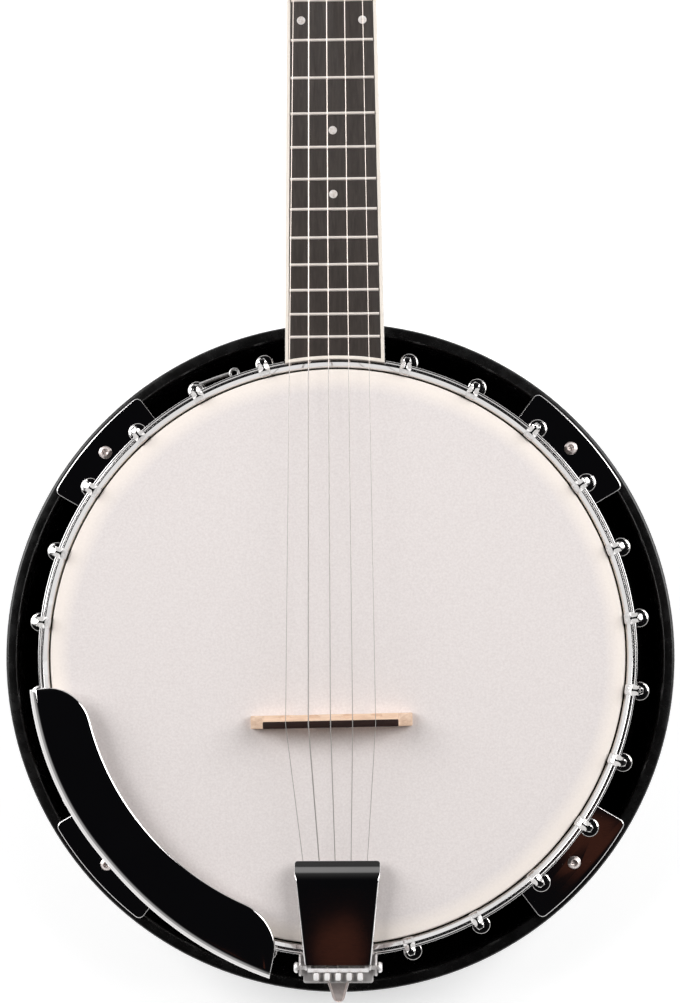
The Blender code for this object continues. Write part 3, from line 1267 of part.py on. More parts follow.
# Strap bracket: a collar on one hook, an arm along the hoop and an eye at its end
def make_strap_bracket():
    low, high = STRAP_BRACKET_BOTTOM, STRAP_BRACKET_BOTTOM + STRAP_BRACKET_HEIGHT
    start = STRAP_BRACKET_HOOK * HOOK_STEP
    hook = pot(HOOK_AT, start)
    collar = add("strap_bracket", rod(STRAP_COLLAR_RADIUS, low, high, 12, hook[:2]), CHROME)
    inner = HOOK_AT + 0.0008
    arm = sector(inner, inner + 0.0024, start + 0.8, start + STRAP_BRACKET_SPAN, 3)
    join(collar, slab([arm], low + 0.001, high - 0.001))
    eye = pot(HOOK_AT + 0.0012, start + STRAP_BRACKET_SPAN)
    join(collar, rod(STRAP_EYE_RADIUS, low + 0.0005, high - 0.0005, 10, eye[:2]))
    cut(collar, rod(HOOK_SHAFT_RADIUS + 1.5 * FIT, low - 0.001, high + 0.001, 12, hook[:2]))
    cut(collar, rod(STRAP_EYE_RADIUS * 0.5, low - 0.001, high + 0.001, 8, eye[:2]))


# Strings, from the prongs under the cover, over the bridge and the nut to the posts
def string_points(number):
    """Points of a string, 0 for the fifth and 4 for the first."""
    radius = STRING_RADII[number]
    clear = radius + FIT
    prong = Vector((prong_places()[number], PRONG_Y + PRONG_LENGTH / 2 + clear, TAILPIECE_STRING_HEIGHT))
    bridge = Vector((BRIDGE_SPREAD[number], BRIDGE_Y - BRIDGE_TOP_DEPTH / 2, BRIDGE_TOP + radius))
    lip_y = TAILPIECE_FRONT_Y - TAILPIECE_LIP_RADIUS
    part = (lip_y - prong.y) / (bridge.y - prong.y)
    lip = Vector((prong.x + (bridge.x - prong.x) * part, lip_y, TAILPIECE_STRING_HEIGHT))
    points = [prong, lip, bridge]
    if number == 0:
        beyond = FIFTH_NUT_RADIUS + FIT
        rest = NECK @ Vector((FIFTH_STRING_X, beyond - FIFTH_NUT_AT, FIFTH_NUT_RISE))
        x = -left_edge(FIFTH_PEG_AT) - 0.0019 - FIFTH_PEG_POST_LENGTH / 2
        peg = NECK @ Vector((x, -FIFTH_PEG_AT, FIFTH_PEG_POST_WAIST - FIFTH_PEG_DEPTH + clear))
        return points + [rest, peg]
    x = NUT_SPREAD[number - 1]
    front = NECK @ Vector((x, 0, NUT_ACTION + FIT))
    back = NECK @ Vector((x, NUT_LENGTH, NUT_ACTION + FIT))
    post_x, post_y = tuner_places()[number - 1]
    side = 1 if post_x > 0 else -1
    height = TUNER_POST_HEIGHT - 0.006
    post = HEADSTOCK @ Vector((post_x - side * (TUNER_POST_WAIST + clear), post_y, height))
    return points + [front, back, post]


def make_strings():
    for number in range(5):
        curve = bpy.data.curves.new("string", "CURVE")
        curve.dimensions = "3D"
        curve.bevel_depth = STRING_RADII[number]
        curve.bevel_resolution = 1
        curve.use_fill_caps = True
        points = string_points(number)
        spline = curve.splines.new("POLY")
        spline.points.add(len(points) - 1)
        for target, point in zip(spline.points, points):
            target.co = (*point, 1)
        add(f"string_{5 - number}", curve, STEEL)


make_resonator()
make_rim()
make_tone_ring()
make_head()
make_tension_hoop()
make_plates()
make_coordinator_rod()
make_neck()
make_overlay()
make_fretboard()
make_nuts()
make_truss_rod()
make_tuners()
make_fifth_peg()
make_bridge()
make_tailpiece()
make_armrest()
make_strap_bracket()
make_strings()
print("banjo:", len([o for o in BANJO.objects if o.type != "EMPTY"]), "pieces")
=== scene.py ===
import math

import bmesh
import bpy
from mathutils import Matrix, Vector


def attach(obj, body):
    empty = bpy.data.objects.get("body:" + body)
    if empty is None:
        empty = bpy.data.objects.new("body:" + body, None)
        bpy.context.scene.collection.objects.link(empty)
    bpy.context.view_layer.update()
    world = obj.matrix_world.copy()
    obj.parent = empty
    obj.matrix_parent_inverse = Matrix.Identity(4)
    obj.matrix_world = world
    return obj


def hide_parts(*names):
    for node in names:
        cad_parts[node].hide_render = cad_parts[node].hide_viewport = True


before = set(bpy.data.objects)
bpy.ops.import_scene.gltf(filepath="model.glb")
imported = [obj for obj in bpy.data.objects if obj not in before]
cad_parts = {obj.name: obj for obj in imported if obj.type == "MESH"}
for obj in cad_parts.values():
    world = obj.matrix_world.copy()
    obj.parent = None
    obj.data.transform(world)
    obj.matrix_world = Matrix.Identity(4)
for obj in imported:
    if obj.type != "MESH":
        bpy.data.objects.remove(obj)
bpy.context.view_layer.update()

# Five-string banjo on its back. Metres; the pot's axis is Z and the neck runs along +Y.
# Angles round the pot are in degrees, clockwise from the neck as seen by the player.
scene = bpy.context.scene

pot = {
    "fit": 0.0003,
    "hookPlaces": 26,
    "hookAt": 0.1481,
    "rim": 0.1385,
    "hoopInner": 0.1405,
    "hoop": 0.146,
    "hoopTop": 0.0842,
    "headTop": 0.0831,
    "resonator": 0.165,
    "lip": 0.058,
    "plateTop": 0.0603,
}
neckSizes = {
    "nutY": 0.633836,
    "nutZ": 0.062605,
    "tilt": 2.57035,
    "length": 0.49043,
    "scale": 0.66675,
    "headTilt": 11.0,
}
neckFrame = Matrix.Translation((0, neckSizes["nutY"], neckSizes["nutZ"])) @ Matrix.Rotation(
    -math.radians(neckSizes["tilt"]), 4, "X"
)
headFrame = (
    neckFrame
    @ Matrix.Translation((0, 0.0053, -0.001))
    @ Matrix.Rotation(-math.radians(neckSizes["headTilt"]), 4, "X")
)


# small tools that the pieces share
def around(radius, angle, z=0.0):
    turn = math.radians(angle)
    return Vector((radius * math.sin(turn), radius * math.cos(turn), z))


def arcPoints(centre, radius, start, end, steps):
    turns = [math.radians(start + (end - start) * i / steps) for i in range(steps + 1)]
    return [(centre[0] + radius * math.cos(t), centre[1] + radius * math.sin(t)) for t in turns]


def rounded(points, radii, steps=5, closed=True):
    # replaces each corner of an outline by an arc of its own radius
    if not hasattr(radii, "__len__"):
        radii = [radii] * len(points)
    made = []
    count = len(points)
    for i, (point, radius) in enumerate(zip(points, radii)):
        here = Vector(point)
        if radius <= 0 or (not closed and i in (0, count - 1)):
            made.append(tuple(here))
            continue
        before = Vector(points[i - 1]) - here
        after = Vector(points[(i + 1) % count]) - here
        room = min(before.length, after.length) * 0.48
        half = before.angle(after) / 2
        if half > math.pi / 2 - 0.01:
            made.append(tuple(here))
            continue
        reach = min(radius / math.tan(half), room)
        radius = reach * math.tan(half)
        start, end = here + before.normalized() * reach, here + after.normalized() * reach
        middle = here + (before.normalized() + after.normalized()).normalized() * (radius / math.sin(half))
        first, last = start - middle, end - middle
        swing = first.angle(last)
        for step in range(steps + 1):
            part = step / steps
            blend = math.sin((1 - part) * swing) * first + math.sin(part * swing) * last
            made.append(tuple(middle + blend / math.sin(swing)))
    return made


def finished(bm, smooth=35, weld=1e-6):
    bmesh.ops.remove_doubles(bm, verts=bm.verts, dist=weld)
    bmesh.ops.recalc_face_normals(bm, faces=bm.faces)
    mesh = bpy.data.meshes.new("shape")
    bm.to_mesh(mesh)
    bm.free()
    mesh.shade_smooth()
    mesh.set_sharp_from_angle(angle=math.radians(smooth))
    return mesh


def cleaned(mesh, smooth=35, weld=1e-6):
    bm = bmesh.new()
    bm.from_mesh(mesh)
    return finished(bm, smooth, weld)


def stand(name, mesh):
    piece = bpy.data.objects.new(name, mesh)
    scene.collection.objects.link(piece)
    return piece


def dress(piece, finish, body="banjo", nodes=()):
    if finish:
        piece.data.materials.clear()
        piece.data.materials.append(finish)
    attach(piece, body)
    if nodes:
        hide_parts(*nodes)
    return piece


def applied(piece):
    bpy.context.view_layer.update()
    mesh = bpy.data.meshes.new_from_object(piece.evaluated_get(bpy.context.evaluated_depsgraph_get()))
    piece.modifiers.clear()
    piece.data = mesh
    return piece


def levelled(piece):
    # flat faces keep their own direction where they meet rounded edges
    weights = piece.modifiers.new("weights", "WEIGHTED_NORMAL")
    weights.keep_sharp = True
    return applied(piece)


def joined(meshes, smooth=35, weld=1e-6):
    bm = bmesh.new()
    for mesh in meshes:
        bm.from_mesh(mesh)
    return finished(bm, smooth, weld)


def moved(mesh, matrix):
    copy = mesh.copy()
    copy.transform(matrix)
    return copy


def turnedAbout(profile, steps=32, smooth=35):
    # a solid turned about Z from (radius, z) points; ends on the axis are closed
    bm = bmesh.new()
    rings = []
    for step in range(steps):
        turn = Matrix.Rotation(2 * math.pi * step / steps, 4, "Z")
        rings.append([bm.verts.new(turn @ Vector((r, 0, z))) for r, z in profile])
    for near, far in zip(rings, rings[1:] + rings[:1]):
        for i in range(len(profile) - 1):
            corners = [near[i], near[i + 1], far[i + 1], far[i]]
            if profile[i][0] < 1e-9:
                corners = [near[i], near[i + 1], far[i + 1]]
            elif profile[i + 1][0] < 1e-9:
                corners = [near[i], near[i + 1], far[i]]
            bm.faces.new(corners)
    return finished(bm, smooth)


def slab(outlines, low, high, bevel=0.0, steps=3, smooth=35):
    # flat outlines with holes, standing from low to high with rounded edges
    curve = bpy.data.curves.new("outline", "CURVE")
    curve.dimensions = "2D"
    curve.fill_mode = "BOTH"
    curve.extrude = (high - low) / 2 - bevel
    curve.bevel_depth = bevel
    curve.bevel_resolution = steps
    curve.offset = -bevel
    for outline in outlines:
        spline = curve.splines.new("POLY")
        spline.points.add(len(outline) - 1)
        for point, place in zip(spline.points, outline):
            point.co = (place[0], place[1], 0, 1)
        spline.use_cyclic_u = True
    holder = stand("holder", curve)
    bpy.context.view_layer.update()
    mesh = bpy.data.meshes.new_from_object(holder.evaluated_get(bpy.context.evaluated_depsgraph_get()))
    bpy.data.objects.remove(holder)
    mesh.transform(Matrix.Translation((0, 0, (low + high) / 2)))
    return cleaned(mesh, smooth)


def loft(rings, smooth=35, caps=True, closed=True):
    bm = bmesh.new()
    loops = [[bm.verts.new(point) for point in ring] for ring in rings]
    count = len(loops[0])
    for near, far in zip(loops, loops[1:]):
        for i in range(count if closed else count - 1):
            j = (i + 1) % count
            bm.faces.new((near[i], near[j], far[j], far[i]))
    if caps:
        bm.faces.new(loops[0])
        bm.faces.new(loops[-1])
    return finished(bm, smooth)


def tube(path, radius, sides=10, smooth=60):
    # a round bar along a path, kept from twisting
    points = [Vector(p) for p in path]
    radii = radius if hasattr(radius, "__len__") else [radius] * len(points)
    across = None
    rings = []
    for i, point in enumerate(points):
        along = (points[min(i + 1, len(points) - 1)] - points[max(i - 1, 0)]).normalized()
        if across is None:
            across = along.orthogonal().normalized()
        across = (across - along * across.dot(along)).normalized()
        other = along.cross(across)
        ring = []
        for side in range(sides):
            turn = 2 * math.pi * side / sides
            ring.append(point + (across * math.cos(turn) + other * math.sin(turn)) * radii[i])
        rings.append(ring)
    return loft(rings, smooth)


def cutWith(piece, cutter, operation="DIFFERENCE"):
    tool = stand("cutter", cutter)
    made = piece.modifiers.new("cut", "BOOLEAN")
    made.operation = operation
    made.solver = "EXACT"
    made.object = tool
    applied(piece)
    bpy.data.objects.remove(tool)
    return piece


def block(low, high):
    bm = bmesh.new()
    bmesh.ops.create_cube(bm, size=1)
    bmesh.ops.scale(bm, vec=[b - a for a, b in zip(low, high)], verts=bm.verts)
    bmesh.ops.translate(bm, vec=[(a + b) / 2 for a, b in zip(low, high)], verts=bm.verts)
    return finished(bm)


def roundedBlock(low, high, bevel, steps=3):
    bm = bmesh.new()
    bm.from_mesh(block(low, high))
    bmesh.ops.bevel(bm, geom=bm.edges[:], offset=bevel, segments=steps, profile=0.5, affect="EDGES")
    return finished(bm)


def softened(mesh, bevel, steps=3, limit=35):
    # rounds every edge that is sharper than the limit
    bm = bmesh.new()
    bm.from_mesh(mesh)
    sharp = [e for e in bm.edges if len(e.link_faces) == 2 and e.calc_face_angle() > math.radians(limit)]
    bmesh.ops.bevel(bm, geom=sharp, offset=bevel, segments=steps, profile=0.5, affect="EDGES")
    return finished(bm)


def sideways(outline, low, high, bevel=0.0, steps=3):
    # an outline drawn in Y and Z that stands from low to high in X
    mesh = slab([outline], low, high, bevel, steps)
    mesh.transform(Matrix(((0, 0, 1, 0), (1, 0, 0, 0), (0, 1, 0, 0), (0, 0, 0, 1))))
    return cleaned(mesh)


# node trees for shapes that repeat or follow a rule
def startTree(name, inputs):
    tree = bpy.data.node_groups.new(name, "GeometryNodeTree")
    face = tree.interface
    face.new_socket("Geometry", in_out="OUTPUT", socket_type="NodeSocketGeometry")
    face.new_socket("Geometry", in_out="INPUT", socket_type="NodeSocketGeometry")
    for label, kind in inputs.items():
        face.new_socket(label, in_out="INPUT", socket_type="NodeSocket" + kind)
    face.new_socket("Finish", in_out="INPUT", socket_type="NodeSocketMaterial")
    return tree, tree.nodes.new("NodeGroupInput").outputs


def put(tree, kind, values, **settings):
    # adds a node; a value may be a number or another node's output
    made = tree.nodes.new(kind)
    for key, value in settings.items():
        setattr(made, key, value)
    for key, value in values.items():
        if isinstance(value, bpy.types.NodeSocket):
            tree.links.new(value, made.inputs[key])
        else:
            made.inputs[key].default_value = value
    return made.outputs


def maths(tree, operation, first, second=0.0):
    return put(tree, "ShaderNodeMath", {0: first, 1: second}, operation=operation)[0]


def endTree(tree, given, geometry):
    real = put(tree, "GeometryNodeRealizeInstances", {0: geometry})[0]
    welded = put(tree, "GeometryNodeMergeByDistance", {"Geometry": real, "Distance": 1e-6})[0]
    painted = put(tree, "GeometryNodeSetMaterial", {"Geometry": welded, "Material": given["Finish"]})[0]
    tree.links.new(painted, tree.nodes.new("NodeGroupOutput").inputs["Geometry"])
    return tree


def grown(name, mesh, tree, values, finish, smooth=35):
    # runs a tree on a mesh and keeps the result as a plain mesh
    piece = stand(name, mesh)
    made = piece.modifiers.new("grow", "NODES")
    made.node_group = tree
    given = dict(values, Finish=finish)
    for socket in tree.interface.items_tree:
        if socket.in_out == "INPUT" and socket.name in given:
            made[socket.identifier] = given[socket.name]
    applied(piece)
    piece.data = cleaned(piece.data, smooth)
    return piece


def makeRingTree():
    # sweeps a profile round the pot
    tree, given = startTree("sweptRing", {"Ring Radius": "Float", "Steps": "Int"})
    circle = put(
        tree,
        "GeometryNodeCurvePrimitiveCircle",
        {"Radius": given["Ring Radius"], "Resolution": given["Steps"]},
    )[0]
    profile = put(tree, "GeometryNodeMeshToCurve", {0: given["Geometry"]})[0]
    swept = put(tree, "GeometryNodeCurveToMesh", {"Curve": circle, "Profile Curve": profile})[0]
    return endTree(tree, given, swept)


def makeCrownTree():
    # copies the shape round the pot, without the places of the neck and the tailpiece
    tree, given = startTree("copiesRound", {"Places": "Int", "Leave Out Every": "Int"})
    line = put(tree, "GeometryNodeMeshLine", {"Count": given["Places"], "Offset": (0, 0, 0)})[0]
    points = put(tree, "GeometryNodeMeshToPoints", {0: line})[0]
    index = put(tree, "GeometryNodeInputIndex", {})[0]
    kept = maths(tree, "MODULO", index, given["Leave Out Every"])
    step = maths(tree, "DIVIDE", -2 * math.pi, given["Places"])
    turn = put(tree, "ShaderNodeCombineXYZ", {2: maths(tree, "MULTIPLY", index, step)})[0]
    copies = put(
        tree,
        "GeometryNodeInstanceOnPoints",
        {"Points": points, "Selection": kept, "Instance": given["Geometry"], "Rotation": turn},
    )[0]
    return endTree(tree, given, copies)


def makeRowTree():
    # copies the shape in an even row across the middle
    tree, given = startTree("evenRow", {"Count": "Int", "Spacing": "Float"})
    gap = put(tree, "ShaderNodeCombineXYZ", {0: given["Spacing"]})[0]
    half = maths(tree, "MULTIPLY", maths(tree, "SUBTRACT", given["Count"], 1.0), -0.5)
    start = put(tree, "ShaderNodeCombineXYZ", {0: maths(tree, "MULTIPLY", half, given["Spacing"])})[0]
    line = put(tree, "GeometryNodeMeshLine", {"Count": given["Count"], "Start Location": start, "Offset": gap})[0]
    copies = put(
        tree, "GeometryNodeInstanceOnPoints", {"Points": line, "Instance": given["Geometry"]}
    )[0]
    return endTree(tree, given, copies)


def makeFretTree():
    # frets at their places down the board, each as long as the board is wide there
    sizes = {
        "Frets": "Int",
        "Scale Length": "Float",
        "Board Length": "Float",
        "Right At Nut": "Float",
        "Right At End": "Float",
        "Shoulder": "Float",
        "Left At Nut": "Float",
        "Left At Shoulder": "Float",
        "Left Below": "Float",
        "Left At End": "Float",
        "Inset": "Float",
    }
    tree, given = startTree("fretLadder", sizes)
    line = put(tree, "GeometryNodeMeshLine", {"Count": given["Frets"], "Offset": (0, 0, 0)})[0]
    number = maths(tree, "ADD", put(tree, "GeometryNodeInputIndex", {})[0], 1.0)
    shrink = maths(tree, "POWER", 2.0, maths(tree, "DIVIDE", number, -12.0))
    along = maths(tree, "MULTIPLY", given["Scale Length"], maths(tree, "SUBTRACT", 1.0, shrink))

    def between(low, high, start, end):
        share = {"Value": along, "From Min": start, "From Max": end, "To Min": low, "To Max": high}
        return put(tree, "ShaderNodeMapRange", share, clamp=False)[0]

    right = between(given["Right At Nut"], given["Right At End"], 0.0, given["Board Length"])
    above = between(given["Left At Nut"], given["Left At Shoulder"], 0.0, given["Shoulder"])
    below = between(given["Left Below"], given["Left At End"], given["Shoulder"], given["Board Length"])
    isBelow = maths(tree, "GREATER_THAN", along, given["Shoulder"])
    left = maths(
        tree,
        "ADD",
        maths(tree, "MULTIPLY", below, isBelow),
        maths(tree, "MULTIPLY", above, maths(tree, "SUBTRACT", 1.0, isBelow)),
    )
    rightEnd = maths(tree, "SUBTRACT", right, given["Inset"])
    leftEnd = maths(tree, "SUBTRACT", given["Inset"], left)
    middle = maths(tree, "MULTIPLY", maths(tree, "ADD", rightEnd, leftEnd), 0.5)
    width = maths(tree, "SUBTRACT", rightEnd, leftEnd)
    place = put(tree, "ShaderNodeCombineXYZ", {0: middle, 1: maths(tree, "MULTIPLY", along, -1.0)})[0]
    stretch = put(tree, "ShaderNodeCombineXYZ", {0: width, 1: 1.0, 2: 1.0})[0]
    # the width is read before the points move, and kept with them
    stored = put(
        tree,
        "GeometryNodeStoreNamedAttribute",
        {"Geometry": line, "Name": "stretch", "Value": stretch},
        data_type="FLOAT_VECTOR",
        domain="POINT",
    )[0]
    moved = put(tree, "GeometryNodeSetPosition", {"Geometry": stored, "Position": place})[0]
    kept = put(tree, "GeometryNodeInputNamedAttribute", {"Name": "stretch"}, data_type="FLOAT_VECTOR")[0]
    copies = put(
        tree,
        "GeometryNodeInstanceOnPoints",
        {"Points": moved, "Instance": given["Geometry"], "Scale": kept},
    )[0]
    return endTree(tree, given, copies)


def makeCoilTree():
    # string turns wound on a post
    sizes = {"Turns": "Float", "Post Radius": "Float", "Rise": "Float", "String Radius": "Float"}
    tree, given = startTree("stringTurns", sizes)
    spiral = put(
        tree,
        "GeometryNodeCurveSpiral",
        {
            "Resolution": 20,
            "Rotations": given["Turns"],
            "Start Radius": given["Post Radius"],
            "End Radius": given["Post Radius"],
            "Height": given["Rise"],
        },
    )[0]
    wire = put(tree, "GeometryNodeCurvePrimitiveCircle", {"Radius": given["String Radius"], "Resolution": 7})[0]
    swept = put(
        tree, "GeometryNodeCurveToMesh", {"Curve": spiral, "Profile Curve": wire, "Fill Caps": True}
    )[0]
    return endTree(tree, given, swept)


def profileMesh(points, radius):
    # an outline of (radius, z) points, laid flat for the ring tree
    mesh = bpy.data.meshes.new("profile")
    edges = [(i, (i + 1) % len(points)) for i in range(len(points))]
    mesh.from_pydata([(r - radius, -z, 0) for r, z in points], edges, [])
    return mesh


ringTree = makeRingTree()
crownTree = makeCrownTree()
rowTree = makeRowTree()
fretTree = makeFretTree()
coilTree = makeCoilTree()
print("node trees ready")


# finishes
def startFinish(name):
    material = bpy.data.materials.new(name)
    material.use_nodes = True
    tree = material.node_tree
    shader = tree.nodes["Principled BSDF"]
    spot = put(tree, "ShaderNodeTexCoord", {})["Object"]
    return material, tree, shader, spot


def stretched(tree, spot, scale):
    return put(tree, "ShaderNodeMapping", {"Vector": spot, "Scale": scale})[0]


def noise(tree, spot, scale, detail=2.0, rough=0.5, twist=0.0):
    settings = {"Vector": spot, "Scale": scale, "Detail": detail, "Roughness": rough, "Distortion": twist}
    return put(tree, "ShaderNodeTexNoise", settings)[0]


def ramp(tree, factor, stops):
    made = tree.nodes.new("ShaderNodeValToRGB")
    tree.links.new(factor, made.inputs[0])
    band = made.color_ramp
    while len(band.elements) < len(stops):
        band.elements.new(0.5)
    for element, (place, colour) in zip(band.elements, stops):
        element.position = place
        element.color = (*colour, 1)
    return made.outputs[0]


def spread(tree, factor, low, high, start=0.3, end=0.7):
    values = {"Value": factor, "From Min": start, "From Max": end, "To Min": low, "To Max": high}
    return put(tree, "ShaderNodeMapRange", values)[0]


def bumped(tree, shader, height, strength, distance=0.001):
    made = put(tree, "ShaderNodeBump", {"Height": height, "Strength": strength, "Distance": distance})
    tree.links.new(made[0], shader.inputs["Normal"])


def worn(tree, colour, edge, low=0.52, high=0.62, amount=0.5):
    # lightens or darkens what stands out at the edges
    point = put(tree, "ShaderNodeNewGeometry", {})["Pointiness"]
    share = spread(tree, point, 0.0, amount, low, high)
    made = tree.nodes.new("ShaderNodeMix")
    made.data_type = "RGBA"
    tree.links.new(share, made.inputs[0])
    tree.links.new(colour, made.inputs[6])
    made.inputs[7].default_value = (*edge, 1)
    return made.outputs[2]


def metalFinish(name, light, dark, rough, grain, mottle=0.0, wear=(0.9, 0.9, 0.9), metal=1.0):
    material, tree, shader, spot = startFinish(name)
    shader.inputs["Metallic"].default_value = metal
    cloud = noise(tree, spot, grain, 3)
    shade = ramp(tree, cloud, [(0.3, dark), (0.7, light)])
    tree.links.new(worn(tree, shade, wear), shader.inputs["Base Color"])
    fine = noise(tree, stretched(tree, spot, (1, 14, 1)), grain * 9, 4)
    tree.links.new(spread(tree, fine, *rough), shader.inputs["Roughness"])
    height = noise(tree, spot, grain * 2, 2)
    bumped(tree, shader, height, mottle or 0.05, 0.0005 if mottle else 0.00005)
    return material


def stringPaintedLightFinish(name, head, neck, headRough, neckRough):
    # painted light: the colour is darker over the head, as painted shade that dims the lamps' glints, and lighter along
    # the neck, as a painted highlight; the roughness rises a little towards the neck
    material, tree, shader, spot = startFinish(name)
    shader.inputs["Metallic"].default_value = 1.0
    along = put(tree, "ShaderNodeSeparateXYZ", {0: spot})[1]
    share = spread(tree, along, 0.0, 1.0, 0.138, 0.146)
    windings = noise(tree, stretched(tree, spot, (1, 8, 1)), 500, 2)
    colour = put(tree, "ShaderNodeMix", {0: share, 6: (*head, 1), 7: (*neck, 1)}, data_type="RGBA")[2]
    tree.links.new(worn(tree, colour, neck, amount=0.1), shader.inputs["Base Color"])
    rough = maths(tree, "ADD", headRough, maths(tree, "MULTIPLY", share, neckRough - headRough))
    rough = maths(tree, "ADD", rough, maths(tree, "MULTIPLY", windings, 0.08))
    tree.links.new(rough, shader.inputs["Roughness"])
    bumped(tree, shader, windings, 0.1, 0.00003)
    return material


def plainFinish(name, light, dark, rough, grain, bump, distance=0.0002, coat=0.0, wear=None, stretch=(1, 1, 1)):
    material, tree, shader, spot = startFinish(name)
    cloud = noise(tree, stretched(tree, spot, stretch), grain, 4)
    shade = ramp(tree, cloud, [(0.3, dark), (0.7, light)])
    if wear:
        shade = worn(tree, shade, wear)
    tree.links.new(shade, shader.inputs["Base Color"])
    fine = noise(tree, spot, grain * 6, 3)
    tree.links.new(spread(tree, fine, *rough), shader.inputs["Roughness"])
    bumped(tree, shader, fine, bump, distance)
    shader.inputs["Coat Weight"].default_value = coat
    shader.inputs["Coat Roughness"].default_value = 0.04
    return material


def woodFinish(name, light, middle, dark, rough, stretch, grain=60, bump=0.25, coat=0.0):
    material, tree, shader, spot = startFinish(name)
    run = stretched(tree, spot, stretch)
    waves = noise(tree, run, grain, 5, 0.6, 0.6)
    pores = noise(tree, run, grain * 7, 3, 0.7)
    both = maths(tree, "ADD", maths(tree, "MULTIPLY", waves, 0.7), maths(tree, "MULTIPLY", pores, 0.3))
    shade = ramp(tree, both, [(0.32, dark), (0.5, middle), (0.66, light)])
    tree.links.new(worn(tree, shade, light, amount=0.3), shader.inputs["Base Color"])
    tree.links.new(spread(tree, pores, *rough), shader.inputs["Roughness"])
    bumped(tree, shader, pores, bump, 0.0002)
    shader.inputs["Coat Weight"].default_value = coat
    shader.inputs["Coat Roughness"].default_value = 0.05
    return material


# heights over which the head's collar fades into painted shade
headShadeBand = {"low": 0.0816, "high": 0.0824}


def headFinish():
    # sprayed frosting with a bare, creamier band at the crown, and painted shade down the collar
    material, tree, shader, spot = startFinish("frostedHead")
    parts = put(tree, "ShaderNodeSeparateXYZ", {0: spot})
    flat = put(tree, "ShaderNodeCombineXYZ", {0: parts[0], 1: parts[1]})[0]
    reach = put(tree, "ShaderNodeVectorMath", {0: flat}, operation="LENGTH")["Value"]
    wander = maths(tree, "MULTIPLY", noise(tree, spot, 18, 2), 0.004)
    reach = maths(tree, "ADD", reach, wander)
    speckle = noise(tree, spot, 900, 3, 0.7)
    frost = ramp(tree, speckle, [(0.3, (0.725, 0.665, 0.65)), (0.7, (0.825, 0.77, 0.755))])
    clear = ramp(tree, speckle, [(0.3, (0.89, 0.81, 0.75)), (0.7, (0.93, 0.85, 0.79))])
    share = spread(tree, reach, 0.0, 1.0, 0.1305, 0.1375)
    made = tree.nodes.new("ShaderNodeMix")
    made.data_type = "RGBA"
    tree.links.new(share, made.inputs[0])
    tree.links.new(frost, made.inputs[6])
    tree.links.new(clear, made.inputs[7])
    # painted shade: the collar below the crown's edge is darkened to stand for the shadow in the gap to the hoop
    drop = spread(tree, parts[2], 1.0, 0.0, headShadeBand["low"], headShadeBand["high"])
    edge = put(tree, "ShaderNodeMix", {0: drop, 6: made.outputs[2], 7: (0.05, 0.035, 0.03, 1)}, data_type="RGBA")
    tree.links.new(edge[2], shader.inputs["Base Color"])
    tree.links.new(spread(tree, speckle, 0.55, 0.75), shader.inputs["Roughness"])
    bumped(tree, shader, speckle, 0.35, 0.0001)
    return material


def pearlFinish():
    material, tree, shader, spot = startFinish("pearlInlay")
    cells = put(tree, "ShaderNodeTexVoronoi", {"Vector": spot, "Scale": 900.0})["Distance"]
    swirl = noise(tree, spot, 500, 3, 0.6, 1.5)
    both = maths(tree, "ADD", maths(tree, "MULTIPLY", cells, 0.5), maths(tree, "MULTIPLY", swirl, 0.6))
    shade = ramp(tree, both, [(0.25, (0.45, 0.42, 0.40)), (0.5, (0.66, 0.60, 0.56)), (0.75, (0.72, 0.70, 0.70))])
    tree.links.new(shade, shader.inputs["Base Color"])
    tree.links.new(spread(tree, swirl, 0.15, 0.3), shader.inputs["Roughness"])
    bumped(tree, shader, swirl, 0.1, 0.0001)
    return material


brightChrome = metalFinish("brightChrome", (0.78, 0.765, 0.76), (0.72, 0.705, 0.70), (0.03, 0.06), 40)
castChrome = metalFinish("castChrome", (0.76, 0.74, 0.73), (0.62, 0.60, 0.59), (0.05, 0.12), 600, 0.12)
softChrome = metalFinish("softChrome", (0.90, 0.86, 0.85), (0.82, 0.77, 0.76), (0.24, 0.36), 260, 0.1)
screwChrome = metalFinish("screwChrome", (0.88, 0.80, 0.77), (0.74, 0.64, 0.61), (0.34, 0.5), 500, 0.15)
satinChrome = metalFinish("satinChrome", (0.95, 0.93, 0.92), (0.87, 0.84, 0.83), (0.5, 0.66), 260, 0.15)
paleChrome = metalFinish("paleChrome", (0.92, 0.90, 0.89), (0.85, 0.82, 0.81), (0.5, 0.65), 260, 0.1, metal=0.1)
brushedPlate = metalFinish("brushedPlate", (0.70, 0.67, 0.66), (0.56, 0.53, 0.52), (0.45, 0.6), 120)
# string colour with painted shade over the head and a painted highlight along the neck
stringSteelPaintedLight = stringPaintedLightFinish("stringSteelPaintedLight", (0.42, 0.395, 0.38), (0.93, 0.83, 0.76), 0.42, 0.46)
fretSteel = metalFinish("fretSteel", (0.96, 0.85, 0.76), (0.89, 0.78, 0.69), (0.68, 0.8), 200)
rodSteel = metalFinish("rodSteel", (0.62, 0.61, 0.60), (0.50, 0.49, 0.48), (0.2, 0.4), 90)
bellBrass = metalFinish("bellBrass", (0.78, 0.62, 0.34), (0.66, 0.50, 0.25), (0.22, 0.38), 60)
blackLacquer = plainFinish(
    "blackLacquer", (0.005, 0.0045, 0.0045), (0.003, 0.003, 0.003), (0.2, 0.32), 30, 0.05, wear=(0.012, 0.012, 0.012)
)
rimMaple = woodFinish(
    "rimMaple", (0.035, 0.018, 0.012), (0.024, 0.012, 0.008), (0.014, 0.007, 0.005), (0.3, 0.45), (1, 1, 6), 40, coat=0.2
)
bridgeMaple = woodFinish(
    "bridgeMaple", (0.80, 0.60, 0.46), (0.71, 0.50, 0.36), (0.56, 0.36, 0.24), (0.4, 0.55), (1, 8, 8), 90
)
capWood = woodFinish(
    "capWood", (0.030, 0.013, 0.010), (0.016, 0.007, 0.0055), (0.007, 0.0035, 0.003), (0.4, 0.55), (1, 10, 10), 120
)
capWood.node_tree.nodes["Principled BSDF"].inputs["Specular IOR Level"].default_value = 0.2
